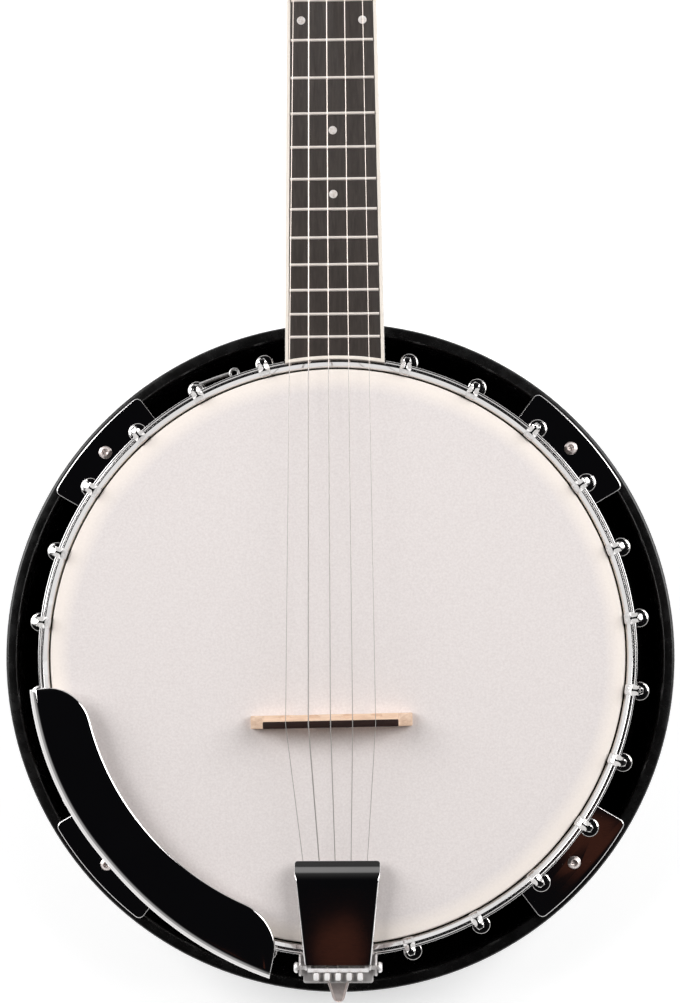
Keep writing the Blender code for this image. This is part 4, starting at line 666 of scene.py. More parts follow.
boardWood = woodFinish(
    "boardWood", (0.047, 0.036, 0.030), (0.032, 0.0235, 0.0195), (0.019, 0.013, 0.010), (0.42, 0.6), (9, 1, 9), 70
)
creamBinding = plainFinish(
    "creamBinding", (0.89, 0.82, 0.745), (0.84, 0.765, 0.68), (0.25, 0.4), 80, 0.08, wear=(0.98, 0.95, 0.9)
)
boneFinish = plainFinish(
    "bone", (0.86, 0.82, 0.72), (0.78, 0.73, 0.62), (0.3, 0.45), 160, 0.15, stretch=(1, 5, 1), wear=(0.9, 0.87, 0.8)
)
buttonPlastic = plainFinish(
    "buttonPlastic", (0.88, 0.85, 0.79), (0.74, 0.70, 0.62), (0.15, 0.28), 110, 0.1, coat=0.3, wear=(0.92, 0.9, 0.86)
)
frostedHead = headFinish()
pearlInlay = pearlFinish()
print("finishes ready")


resonatorSizes = {
    "radius": 0.16469,
    "height": 0.058,
    "wall": 0.006,
    "floor": 0.005,
    "corner": 0.018,
    "lipRound": 0.0014,
    "steps": 192,
    "notchWidth": 0.045,
    "notchBottom": 0.034,
}


def makeResonator():
    s = resonatorSizes
    outer, inner = s["radius"], s["radius"] - s["wall"]
    corners = [(0, 0), (outer, 0), (outer, s["height"]), (inner, s["height"]), (inner, s["floor"]), (0, s["floor"])]
    radii = [0, s["corner"], s["lipRound"], s["lipRound"], s["corner"] - s["wall"], 0]
    profile = []
    for i, radius in enumerate(radii):
        steps = 10 if radius > 0.005 else 5
        profile += rounded(corners, [radius if i == j else 0 for j in range(6)], steps)[i : i + (steps + 1 if radius else 1)]
    middle = 0.1
    piece = grown("resonator_shell", profileMesh(profile, middle), ringTree, {"Ring Radius": middle, "Steps": s["steps"]}, blackLacquer)
    half = s["notchWidth"] / 2
    tool = softened(block((-half, inner - 0.01, s["notchBottom"]), (half, outer + 0.01, s["height"] + 0.02)), 0.003, 4)
    cutWith(piece, tool)
    piece.data = cleaned(piece.data, 40)
    return dress(piece, blackLacquer, nodes=["resonator"])


makeResonator()
print("resonator ready")


rimSizes = {"outer": 0.1385, "inner": 0.122, "bottom": 0.014, "top": 0.072, "round": 0.001, "steps": 156}
ringSizes = {"outer": 0.1393, "width": 0.0113, "bottom": 0.0723, "top": 0.0823}
shoeSizes = {"radius": 0.0047, "low": 0.046, "high": 0.058, "bossWidth": 0.006, "edge": 0.0012, "hole": 0.00246}
shoeDisc = {"at": 0.1483, "radius": 0.00465, "low": 0.0604, "high": 0.0626, "crown": 0.0005, "edge": 0.0007}


def makeRim():
    s = rimSizes
    corners = [(s["outer"], s["top"]), (s["outer"], s["bottom"]), (s["inner"], s["bottom"]), (s["inner"], s["top"])]
    profile = rounded(corners, s["round"], 3)
    piece = grown("rim_shell", profileMesh(profile, 0.13), ringTree, {"Ring Radius": 0.13, "Steps": s["steps"]}, rimMaple)
    dress(piece, rimMaple, nodes=["rim"])

    s = ringSizes
    inner = s["outer"] - s["width"]
    corners = [
        (s["outer"], s["top"]),
        (s["outer"], s["bottom"]),
        (inner, s["bottom"]),
        (inner, s["bottom"] + 0.004),
        (s["outer"] - 0.004, s["top"]),
    ]
    piece = grown(
        "tone_ring_bell", profileMesh(rounded(corners, 0.0008, 4), 0.13), ringTree, {"Ring Radius": 0.13, "Steps": 156}, bellBrass
    )
    dress(piece, bellBrass, nodes=["tone_ring"])

    s = shoeSizes
    half = s["bossWidth"] / 2
    outline = [(half, pot["rim"] - 0.001), *arcPoints((0, pot["hookAt"]), s["radius"], -48, 228, 20), (-half, pot["rim"] - 0.001)]
    hole = arcPoints((0, pot["hookAt"]), s["hole"], 0, 342, 19)
    shoe = slab([outline, hole], s["low"], s["high"], 0.0006, 2)
    piece = grown("shoes", shoe, crownTree, {"Places": pot["hookPlaces"], "Leave Out Every": 13}, castChrome)
    dress(piece, castChrome)


def makeShoeDiscs():
    s = shoeDisc
    radius, top, crown = s["radius"], s["high"], s["crown"]
    corners = [(radius * r, top - crown * r**2) for r in (0.0, 0.25, 0.5, 0.75)]
    corners += [(radius, top - crown), (radius, s["low"]), (0.003, s["low"]), (0.003, 0.0575), (0, 0.0575)]
    disc = turnedAbout(rounded(corners, [0, 0, 0, 0, s["edge"], 0.0002, 0, 0, 0], 6, False), 40, 50)
    disc.transform(Matrix.Translation((0, s["at"], 0)))
    piece = grown("shoe_discs", disc, crownTree, {"Places": pot["hookPlaces"], "Leave Out Every": 13}, castChrome)
    dress(piece, castChrome)


makeRim()
makeShoeDiscs()
print("rim ready")


headSizes = {"top": 0.0831, "film": 0.0005, "crown": 0.0009, "collar": 0.1391, "inner": 0.13882, "steps": 208}
hoopSizes = {
    "inner": 0.13995,
    "outer": 0.1449,
    "top": 0.0842,
    "bottom": 0.0734,
    "slopeTo": 0.1425,
    "slope": 42.0,
    "slopeBend": 0.0009,
    "groove": (0.1430, 0.1434),
    "grooveDepth": 0.0007,
    "lipFrom": 0.1442,
    "lipRound": 0.0007,
    "steps": 624,
}
hookSizes = {"shaft": 0.0015, "width": 0.0056, "nut": 0.0045, "at": 0.1472}


def makeHead():
    s = headSizes
    top, under = s["top"], s["top"] - s["film"]
    corners = [
        (0, top),
        (s["collar"], top),
        (s["collar"], 0.0731),
        (0.143, 0.0731),
        (0.143, 0.0697),
        (s["inner"], 0.0697),
        (s["inner"], under),
        (0, under),
    ]
    profile = [(0, top)] + [(0.01 + 0.0125 * i, top) for i in range(10)]
    profile += rounded(corners, [0, s["crown"], 0, 0, 0, 0, 0, 0], 6)[1:]
    piece = grown("head_film", profileMesh(profile, 0.1), ringTree, {"Ring Radius": 0.1, "Steps": s["steps"]}, frostedHead, 40)
    dress(piece, frostedHead, nodes=["head"])


def makeHoop():
    s = hoopSizes
    top, floor = s["top"], s["top"] - s["grooveDepth"]
    foot = top - (s["slopeTo"] - s["inner"]) * math.tan(math.radians(s["slope"]))
    corners = [
        (s["inner"], s["bottom"]),
        (s["inner"], foot),
        (s["slopeTo"], top),
        (s["groove"][0], top),
        (s["groove"][0], floor),
        (s["groove"][1], floor),
        (s["lipFrom"], top),
        (s["outer"], top),
        (s["outer"], s["bottom"]),
    ]
    radii = [0.0003, 0.0002, s["slopeBend"], 0.0001, 0, 0.0001, 0.0002, s["lipRound"], 0.0003]
    profile = rounded(corners, radii, 6)
    piece = grown("hoop_ring", profileMesh(profile, 0.143), ringTree, {"Ring Radius": 0.143, "Steps": s["steps"]}, brightChrome, 30)
    # notched where the fretboard lies over it
    under = [(x, math.sqrt(0.1437**2 - x**2)) for x in [0.0247 - 0.04945 * i / 20 for i in range(21)]]
    cutWith(piece, slab([[(0.0247, 0.16), *under, (-0.02475, 0.16)]], 0.0776, 0.1))
    piece.data = cleaned(piece.data, 30)
    dress(levelled(piece), brightChrome, nodes=["tension_hoop"])


def makeHooks():
    s = hookSizes
    wide, narrow = s["width"] / 2, s["shaft"] + 0.0004
    # rings of the claw from its tip to its shaft: place, half width, low, high,
    # half width of its flat top and how far the sides slope down from it
    stations = [
        (0.1396, wide - 0.0012, 0.0841, 0.0845, 0.0008, 0.0001),
        (0.1398, wide - 0.0004, 0.0841, 0.0849, 0.0016, 0.0002),
        (0.1406, wide, 0.0841, 0.0857, 0.0018, 0.0003),
        (0.1422, wide, 0.0842, 0.0871, 0.0018, 0.0004),
        (0.1426, wide, 0.0842, 0.0873, 0.0010, 0.0010),
        (0.1432, wide, 0.0842, 0.0873, 0.0004, 0.0018),
        (0.1448, wide - 0.0002, 0.0842, 0.0873, 0.0004, 0.0018),
        (0.1455, wide - 0.0006, 0.0840, 0.0872, 0.0006, 0.0014),
        (0.1460, narrow + 0.0005, 0.0838, 0.0871, 0.0010, 0.0008),
        (0.1466, narrow + 0.0001, 0.0837, 0.0870, 0.0013, 0.0003),
        (0.1476, narrow - 0.0002, 0.0837, 0.0868, 0.0012, 0.0002),
        (0.1483, narrow - 0.0006, 0.0838, 0.0864, 0.0009, 0.0002),
        (0.1487, narrow - 0.0011, 0.0840, 0.0852, 0.0005, 0.0002),
    ]
    rings = []
    for y, half, low, high, flat, drop in stations:
        corners = [(-half, low), (half, low), (half, high - drop), (flat, high), (-flat, high), (-half, high - drop)]
        outline = rounded(corners, [0, 0, 0.0002, 0.0002, 0.0002, 0.0002], 3)
        rings.append([Vector((x, y, z)) for x, z in outline])
    claw = loft(rings, 50)
    shaft = turnedAbout([(0, 0.0352), (s["shaft"] - 0.0003, 0.0352), (s["shaft"], 0.0356), (s["shaft"], 0.0848), (0, 0.0848)], 12)
    shaft.transform(Matrix.Translation((0, s["at"], 0)))
    hooks = grown(
        "tension_hooks", joined([claw, shaft]), crownTree, {"Places": pot["hookPlaces"], "Leave Out Every": 13}, castChrome
    )
    dress(levelled(hooks), castChrome)
    corners = [(s["nut"] * math.cos(math.radians(30 + 60 * i)), s["nut"] * math.sin(math.radians(30 + 60 * i))) for i in range(6)]
    nut = slab([corners], 0.0362, 0.0457, 0.0005, 2)
    nut.transform(Matrix.Translation((0, s["at"], 0)))
    nuts = grown("hook_nuts", nut, crownTree, {"Places": pot["hookPlaces"], "Leave Out Every": 13}, brightChrome)
    dress(nuts, brightChrome)


makeHead()
makeHoop()
makeHooks()
print("head and hoop ready")


plateSizes = {
    "angles": (48.5, 131.5, 228.5, 311.5),
    "inner": 0.1391,
    "outer": 0.1623,
    "halfSpan": 11.2,
    "low": 0.0583,
    "high": 0.0603,
    "corner": 0.0042,
    "edge": 0.0006,
    "screwAt": 0.153,
}


def makePlates():
    s = plateSizes
    half = s["halfSpan"]
    # the corners' arcs need room, so the outer arc between them is a little shorter
    outer = [around(s["outer"], half)] + [around(s["outer"], 0.8 * half * (1 - i / 10)) for i in range(21)]
    outer.append(around(s["outer"], -half))
    inner = [around(s["inner"], half * (i / 6 - 1)) for i in range(13)]
    radii = [s["corner"]] + [0] * 21 + [s["corner"]] + [0.0003] + [0] * 11 + [0.0003]
    outline = rounded([tuple(p.xy) for p in outer + inner], radii, 8)
    holes = [arcPoints(around(pot["hookAt"], a), 0.00246, 0, 337.5, 15) for a in (6.923, -6.923)]
    holes += [arcPoints((0, s["screwAt"]), 0.0026, 0, 337.5, 15)]
    plate = slab([outline, *holes], s["low"], s["high"], s["edge"], 4)
    for number, angle in enumerate(s["angles"], 1):
        turn = Matrix.Rotation(-math.radians(angle), 4, "Z")
        piece = stand(f"flange_cover_{number}", moved(plate, turn))
        dress(levelled(piece), brightChrome, nodes=[f"flange_plate_{number}"])
        screw = turnedAbout(
            [
                (0, 0.0617), (0.0005, 0.0617), (0.0012, 0.0619), (0.0014, 0.0625), (0.0017, 0.0627), (0.0024, 0.0623),
                (0.0029, 0.0617), (0.0032, 0.0610), (0.0032, 0.0606), (0.002, 0.0606), (0.002, 0.048), (0, 0.048),
            ],
            28,
            50,
        )
        piece = stand(f"flange_screw_{number}", screw)
        for turnBy in (0.0, math.pi / 2):
            cross = moved(block((-0.0015, -0.0003, 0.0610), (0.0015, 0.0003, 0.064)), Matrix.Rotation(turnBy, 4, "Z"))
            cutWith(piece, cross)
        piece.data = moved(cleaned(piece.data, 50), Matrix.Translation(around(s["screwAt"], angle)) @ Matrix.Rotation(0.4, 4, "Z"))
        dress(piece, screwChrome, nodes=[f"resonator_screw_{number}"])
        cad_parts[f"resonator_lug_{number}"].material_slots[0].material = rodSteel


makePlates()
print("plates ready")


boardSizes = {
    "rightAtNut": 0.0156,
    "rightAtEnd": 0.0241,
    "leftAtNut": 0.0156,
    "leftAbove": 0.0164,
    "leftBelow": 0.0216,
    "leftAtEnd": 0.02415,
    "shoulder": 0.156998,
    "shoulderLength": 0.006,
    "endRadius": 0.1439,
    "thickness": 0.006,
    "binding": 0.0017,
    "frets": 22,
}


def rightEdge(along):
    s = boardSizes
    return s["rightAtNut"] + (s["rightAtEnd"] - s["rightAtNut"]) * along / neckSizes["length"]


def leftEdge(along):
    s = boardSizes
    if along <= s["shoulder"]:
        return s["leftAtNut"] + (s["leftAbove"] - s["leftAtNut"]) * along / s["shoulder"]
    part = (along - s["shoulder"]) / s["shoulderLength"]
    if part < 1:
        return s["leftAbove"] + (s["leftBelow"] - s["leftAbove"]) * (3 - 2 * part) * part**2
    wide = s["shoulder"] + s["shoulderLength"]
    return s["leftBelow"] + (s["leftAtEnd"] - s["leftBelow"]) * (along - wide) / (neckSizes["length"] - wide)


def endLine(x, inset):
    reach = math.sqrt((boardSizes["endRadius"] + inset) ** 2 - x**2)
    return (reach - neckSizes["nutY"]) / math.cos(math.radians(neckSizes["tilt"]))


def boardPath(inset, start=-0.0003):
    s = boardSizes
    right = rightEdge(neckSizes["length"]) - inset
    left = -leftEdge(neckSizes["length"]) + inset
    path = [(rightEdge(0) - inset, start)]
    path += [(right + (left - right) * i / 16, endLine(right + (left - right) * i / 16, inset)) for i in range(17)]
    steps = [s["shoulder"] + s["shoulderLength"] * (12 - i) / 12 for i in range(13)]
    path += [(-leftEdge(along) + inset, -along) for along in steps]
    return path + [(-leftEdge(0) + inset, start)]


def neckDepth(along):
    depth = 0.015 + 0.005 * along / neckSizes["length"]
    away = max(0.0, 1 - (neckSizes["nutY"] - along * math.cos(math.radians(neckSizes["tilt"])) - 0.1385) / 0.062)
    return depth + 0.038 * min(1.0, away) ** 1.5


def neckSection(along, depth, left, right, steps=24):
    middle, half = (right - left) / 2, (right + left) / 2
    turns = [math.pi * i / steps for i in range(steps + 1)]
    back = [(middle + half * math.cos(t), -0.0083 - (depth - 0.002) * math.sin(t)) for t in turns]
    return [Vector((x, -along, z)) for x, z in [(right, -0.0063), *back, (-left, -0.0063)]]


def makeFretboard():
    s = boardSizes
    board = slab([boardPath(s["binding"] + 0.0001)], -s["thickness"], 0, 0.0002, 1)
    board.transform(neckFrame)
    dress(stand("board", board), boardWood, nodes=["fretboard"])
    outside, inner = boardPath(0), boardPath(s["binding"])
    strip = slab([outside + inner[::-1]], -s["thickness"], 0, 0.0003, 2)
    strip.transform(neckFrame)
    dress(stand("board_binding", strip), creamBinding, nodes=["binding"])

    crown = [(-0.0007, -0.0005), (0.0007, -0.0005), (0.00067, 0.0004), (0.0004, 0.00085), (0.0, 0.001), (-0.0004, 0.00085), (-0.00067, 0.0004)]
    fret = sideways(crown, -0.5, 0.5)
    sizes = {
        "Frets": s["frets"],
        "Scale Length": neckSizes["scale"],
        "Board Length": neckSizes["length"],
        "Right At Nut": s["rightAtNut"],
        "Right At End": s["rightAtEnd"],
        "Shoulder": s["shoulder"] + s["shoulderLength"],
        "Left At Nut": s["leftAtNut"],
        "Left At Shoulder": s["leftAbove"],
        "Left Below": s["leftBelow"],
        "Left At End": s["leftAtEnd"],
        "Inset": s["binding"] + 0.0004,
    }
    frets = grown("frets", fret, fretTree, sizes, fretSteel)
    frets.data.transform(neckFrame)
    dress(frets, fretSteel)

    def fretPlace(n):
        return neckSizes["scale"] * (1 - 2 ** (-n / 12))

    spots = []
    for n in (3, 5, 7, 10, 12, 15, 17):
        along = (fretPlace(n) + fretPlace(n - 1)) / 2
        middle = (rightEdge(along) - leftEdge(along)) / 2
        if n == 12:
            half = (rightEdge(along) + leftEdge(along)) / 2
            spots += [(middle - half * 0.68, along), (middle + half * 0.68, along)]
        else:
            spots.append((middle, along))
    dot = turnedAbout([(0, 0.0001), (0.0019, 0.0001), (0.00205, 0.00002), (0.00205, -0.001), (0, -0.001)], 24)
    dots = joined([moved(dot, neckFrame @ Matrix.Translation((x, -along, 0))) for x, along in spots])
    dress(stand("pearl_dots", dots), pearlInlay)


def makeNeck():
    tilt = math.cos(math.radians(neckSizes["tilt"]))
    potEnd = (neckSizes["nutY"] - 0.1385) / tilt + 0.004
    stations = [potEnd * i / 70 for i in range(71)] + [0.157 + 0.0005 * i for i in range(13)]
    rings = [neckSection(a, neckDepth(a), leftEdge(a), rightEdge(a)) for a in sorted(set(stations))]
    # behind the nut the shaft runs into the headstock's back
    for back, depth in ((0.005, 0.0149), (0.009, 0.0143), (0.0125, 0.0125)):
        rings.insert(0, neckSection(-back, depth - 0.0015, 0.0156, 0.0156))
    shaft = loft(rings, 50)
    piece = stand("neck_wood", shaft)
    piece.data.transform(neckFrame)
    stock = slab([headstockOutline(0.0)], -0.0143, -0.0018, 0.0008, 3)
    cutWith(piece, moved(stock, headFrame), "UNION")
    profile = [(0, 0.12), (0.1466, 0.12), (0.1466, 0.0691), (0.1391, 0.0691), (0.1391, -0.01), (0, -0.01)]
    cutWith(piece, turnedAbout(profile, 208))
    seat = block((-0.02, -0.001, -0.0063), (0.02, 0.0053, 0.01))
    seat.transform(neckFrame)
    cutWith(piece, seat)
    piece.data = cleaned(piece.data, 35)
    dress(piece, blackLacquer, nodes=["neck"])


def headstockOutline(start):
    right = [
        (0.0156, start), (0.01638, 0.008), (0.0215, 0.019), (0.030, 0.032), (0.0328, 0.050), (0.033, 0.080),
        (0.035, 0.1104), (0.0362, 0.128), (0.033, 0.1424), (0.0225, 0.1496), (0.010, 0.1576), (0, 0.160),
    ]
    radii = [0.0] + [0.02, 0.02, 0.012, 0.02, 0.05, 0.05, 0.02, 0.01, 0.02, 0.01]
    outline = right + [(-x, y) for x, y in reversed(right[:-1])]
    return rounded(outline, radii + [0.012] + radii[::-1], 5)


def makeHeadstock():
    overlay = slab([headstockOutline(0.0003)], -0.0015, 0, 0.0004, 2)
    overlay.transform(headFrame)
    dress(stand("headstock_face", overlay), blackLacquer, nodes=["headstock_overlay"])
    side = [(0.005, 0.002), (0.0055, 0.0126), (0.0085, 0.0198), (0.009, 0.027), (0.0055, 0.0335)]
    outline = side + [(0, 0.036)] + [(-x, y) for x, y in reversed(side)]
    cover = slab([rounded(outline, [0.0008, 0.01, 0.006, 0.006, 0.004, 0.002, 0.004, 0.006, 0.006, 0.01, 0.0008], 5)], 0.0003, 0.0023, 0.0006, 3)
    cover.transform(headFrame)
    dress(stand("truss_cover", cover), blackLacquer, nodes=["truss_rod_cover"])
    head = turnedAbout([(0, 0.0031), (0.0007, 0.00305), (0.0012, 0.0027), (0.0014, 0.0023), (0.0008, 0.0021), (0.0008, 0.0005), (0, 0.0005)], 20, 50)
    heads = joined([moved(head, headFrame @ Matrix.Translation((0, y, 0))) for y in (0.0050, 0.0325)])
    dress(stand("cover_screws", heads), satinChrome)
    nut = softened(block((-0.0156, 0.0, -0.006), (0.0156, 0.005, 0.0023)), 0.0005, 3)
    piece = stand("nut_bone", nut)
    for x in (-0.0107, -0.0037, 0.0034, 0.0102):
        cutWith(piece, block((x - 0.0004, -0.001, 0.0013), (x + 0.0004, 0.006, 0.004)))
    piece.data = cleaned(piece.data)
    piece.data.transform(neckFrame)
    dress(piece, boneFinish, nodes=["nut"])


makeFretboard()
makeNeck()
makeHeadstock()
print("neck ready")


tunerSizes = {
    "places": {4: (-0.0185, 0.044), 3: (-0.0205, 0.098), 2: (0.0205, 0.098), 1: (0.0185, 0.044)},
    "wormY": 0.0085,
    "wormZ": -0.01935,
    "buttonStart": 0.0205,
    "buttonRadius": 0.0082,
    "buttonLength": 0.0125,
    "flatness": 0.55,
}


def buttonMesh(start, shaftStart, shaftRadius):
    s = tunerSizes
    radius, length = s["buttonRadius"], s["buttonLength"]
    shape = [(0, 1), (0.35, 0.995), (0.62, 0.975), (0.8, 0.92), (0.93, 0.8), (1, 0.62), (0.98, 0.45), (0.88, 0.28), (0.72, 0.12), (0.5, 0.03)]
    profile = [(radius * r, start + length * z) for r, z in shape]
    body = turnedAbout(profile + [(0.0028, start), (0, start)], 32, 60)
    for vertex in body.vertices:
        vertex.co.y *= s["flatness"]
    shaft = turnedAbout(
        [(0, start + 0.001), (shaftRadius * 1.3, start + 0.001), (shaftRadius * 1.3, start - 0.0012), (shaftRadius, start - 0.0016),
         (shaftRadius, shaftStart), (0, shaftStart)],
        20,
    )
    return body, shaft


def makeTuners():
    s = tunerSizes
    for number, (x, y) in s["places"].items():
        side = 1 if x > 0 else -1
        at = headFrame @ Matrix.Translation((x, y, 0))
        corners = [(0.0075, -0.008), (0.0075, 0.015), (-0.0075, 0.015), (-0.0075, -0.008)]
        case = slab([rounded(corners, 0.003, 6)], -0.0241, -0.0146, 0.0016, 4)
        bushing = turnedAbout(
            [(0.0033, 0.0019), (0.0046, 0.0019), (0.0050, 0.0016), (0.0066, 0.0010), (0.007, 0.0006), (0.007, 0.0003),
             (0.0049, 0.0003), (0.0049, -0.0148), (0.0033, -0.0148), (0.0033, 0.0019)],
            32,
        )
        housing = stand(f"tuner_case_{number}", moved(joined([case, bushing]), at))
        dress(housing, brightChrome, nodes=[f"tuner_{number}_housing"])
        post = turnedAbout(
            rounded(
                [(0, 0.013), (0.003, 0.013), (0.003, 0.0098), (0.0023, 0.0085), (0.0023, 0.0055), (0.003, 0.004),
                 (0.003, -0.0206), (0, -0.0206)],
                [0, 0.0008, 0.0006, 0.0006, 0.0006, 0.0006, 0.0002, 0],
                4,
                False,
            ),
            28,
        )
        piece = stand(f"tuner_spindle_{number}", moved(post, at))
        dress(piece, brightChrome, f"post_{number}", [f"tuner_{number}_post"])
        knob, shaft = buttonMesh(s["buttonStart"], 0.002, 0.002)
        turn = at @ Matrix.Translation((0, s["wormY"], s["wormZ"])) @ Matrix.Rotation(side * math.pi / 2, 4, "Y")
        piece = stand(f"tuner_knob_{number}", moved(knob, turn))
        dress(piece, buttonPlastic, f"button_{number}", [f"tuner_{number}_button"])
        piece = stand(f"tuner_worm_{number}", moved(shaft, turn))
        dress(piece, brightChrome, f"button_{number}")


def makeFifthPeg():
    place = neckFrame @ Matrix.Translation((-leftEdge(0.14), -0.14, -0.0092)) @ Matrix.Rotation(-math.pi / 2, 4, "Y")
    case = turnedAbout(
        rounded(
            [(0, 0.015), (0.0021, 0.015), (0.0021, 0.020), (0.0064, 0.020), (0.0064, 0.009), (0.0014, 0.009), (0.0014, 0.0016),
             (0.0055, 0.0016), (0.0055, 0.0004), (0.0025, 0.0004), (0.0025, -0.011), (0, -0.011)],
            [0, 0, 0.0002, 0.001, 0.001, 0, 0, 0.0005, 0.0004, 0, 0.0004, 0],
            4,
            False,
        ),
        32,
    )
    dress(stand("fifth_case", moved(case, place)), brightChrome, nodes=["fifth_peg_case"])
    drum = turnedAbout(
        rounded(
            [(0.0041, 0.0087), (0.0036, 0.0062), (0.0036, 0.0042), (0.0041, 0.0019), (0.0017, 0.0019), (0.0017, 0.0087), (0.0041, 0.0087)],
            [0, 0.001, 0.001, 0, 0, 0, 0],
            4,
            False,
        ),
        32,
    )
    dress(stand("fifth_drum", moved(drum, place)), brightChrome, "post_5", ["fifth_peg_post"])
    knob, shaft = buttonMesh(0.0215, 0.0153, 0.0018)
    dress(stand("fifth_knob", moved(knob, place)), buttonPlastic, "button_5", ["fifth_peg_button"])
    dress(stand("fifth_shaft", moved(shaft, place)), brightChrome, "button_5")


makeTuners()
makeFifthPeg()
print("tuners ready")


bridgeSizes = {
    "centre": -0.0025,
    "rear": -0.0344,
    "foot": 0.039,
    "cap": 0.0325,
    "low": 0.0834,
    "high": 0.0957,
    "footDepth": 0.0063,
    "topDepth": 0.0034,
    "taperFrom": 0.0088,
    "askew": 0.9,
    "scoops": (-0.0218, -0.008, 0.008, 0.0218),
    "archWidth": 0.0087,
    "archHeight": 0.0082,
    "archAt": 0.0145,
    "footHeight": 0.0045,
}


def makeBridge():
    s = bridgeSizes
    low, high = s["low"], s["high"]
    arch = s["archWidth"] / 2
    spring = low + s["archHeight"] - arch
    outline, radii = [(-s["foot"], low)], [0.0006]
    for centre in (-s["archAt"], s["archAt"]):
        outline.append((centre - arch, low))
        curve = arcPoints((centre, spring), arch, 180, 0, 14)
        outline += curve + [(centre + arch, low)]
        radii += [0.0008] + [0] * len(curve) + [0.0008]
    shoulder = low + s["footHeight"]
    outline += [(s["foot"], low), (s["foot"], shoulder), (s["cap"], shoulder + 0.003), (s["cap"], high)]
    outline += [(-s["cap"], high), (-s["cap"], shoulder + 0.003), (-s["foot"], shoulder)]
    radii += [0.0006, 0.0012, 0.002, 0.0, 0.0, 0.002, 0.0012]
    mesh = slab([rounded(outline, radii, 5)], -s["footDepth"], 0, 0.0004, 2)
    mesh.transform(Matrix.Rotation(math.pi / 2, 4, "X"))
    bm = bmesh.new()
    bm.from_mesh(mesh)
    everything = bm.verts[:] + bm.edges[:] + bm.faces[:]
    bmesh.ops.bisect_plane(bm, geom=everything, plane_co=(0, 0, low + s["taperFrom"]), plane_no=(0, 0, 1))
    mesh = finished(bm)
    # the front face stands straight up to above the arches, then leans back to the cap
    slope = (s["footDepth"] - s["topDepth"]) / (high - low - s["taperFrom"])
    for vertex in mesh.vertices:
        vertex.co.y -= slope * max(0.0, vertex.co.z - low - s["taperFrom"]) * max(0.0, vertex.co.y / s["footDepth"])
    place = Matrix.Translation((s["centre"], s["rear"], 0)) @ Matrix.Rotation(math.radians(s["askew"]), 4, "Z")
    piece = stand("bridge_wood", cleaned(mesh))
    ball = bmesh.new()
    bmesh.ops.create_uvsphere(ball, u_segments=24, v_segments=12, radius=1)
    scoop = finished(ball)
    for x in s["scoops"]:
        at = Matrix.Translation((x, 0.0055, low + 0.0102)) @ Matrix.Diagonal((0.0031, 0.0019, 0.0014, 1))
        cutWith(piece, moved(scoop, at))
    piece.data = moved(cleaned(piece.data), place)
    dress(piece, bridgeMaple, nodes=["bridge_body"])
    strip = softened(block((-s["cap"], 0, 0.096), (s["cap"], s["topDepth"], 0.099)), 0.0005, 3)
    strip.transform(place)
    piece = stand("bridge_strip", strip)
    for x in (-0.024, -0.0131, -0.0025, 0.0081, 0.0191):
        cutWith(piece, moved(turnedAbout([(0, -0.01), (0.0005, -0.01), (0.0005, 0.01), (0, 0.01)], 10), Matrix.Translation((x, s["rear"], 0.099)) @ Matrix.Rotation(math.pi / 2, 4, "X")))
    piece.data = cleaned(piece.data)
    dress(piece, capWood, nodes=["bridge_cap"])


makeBridge()
print("bridge ready")


stringSizes = {
    "radii": (0.000165, 0.0003, 0.00024, 0.000195, 0.00015),  # fifth to first
    "bridge": (-0.024, -0.0131, -0.0025, 0.0081, 0.0191),
    "nut": (-0.0107, -0.0037, 0.0034, 0.0102),  # fourth to first
    "capTop": 0.099,
    "underLid": 0.0883,
    "prongFront": -0.1521,
    "lipAt": -0.1029,
    "turns": 2.5,
}
tailSizes = {
    "rear": -0.1572,
    "tongueEnd": -0.1668,
    "tongueDrop": 0.0042,
    "bar": (-0.1499, -0.1519),
    "barTop": (0.0903, 0.0888),
    "barHalf": 0.0147,
    "barHoles": 0.0007,
    "prongFrom": -0.1559,
    "prongTo": -0.1521,
    "prongs": 5,
    "prongSpacing": 0.0053,
}
lidSizes = {
    "pivot": (-0.1495, 0.089),
    "rear": 0.0159,
    "front": 0.0207,
    "wall": 0.0009,
    "topRear": -0.1482,
    "lipFrom": -0.1090,
    "bandFrom": -0.1013,
    "end": -0.0985,
    "rearTop": 0.0925,
    "top": 0.0940,
    "lipSlope": 32.3,
    "bandSlope": 30.1,
    "edge": 0.0013,
    "lipEdge": 0.00035,
    "corner": 0.0012,
}


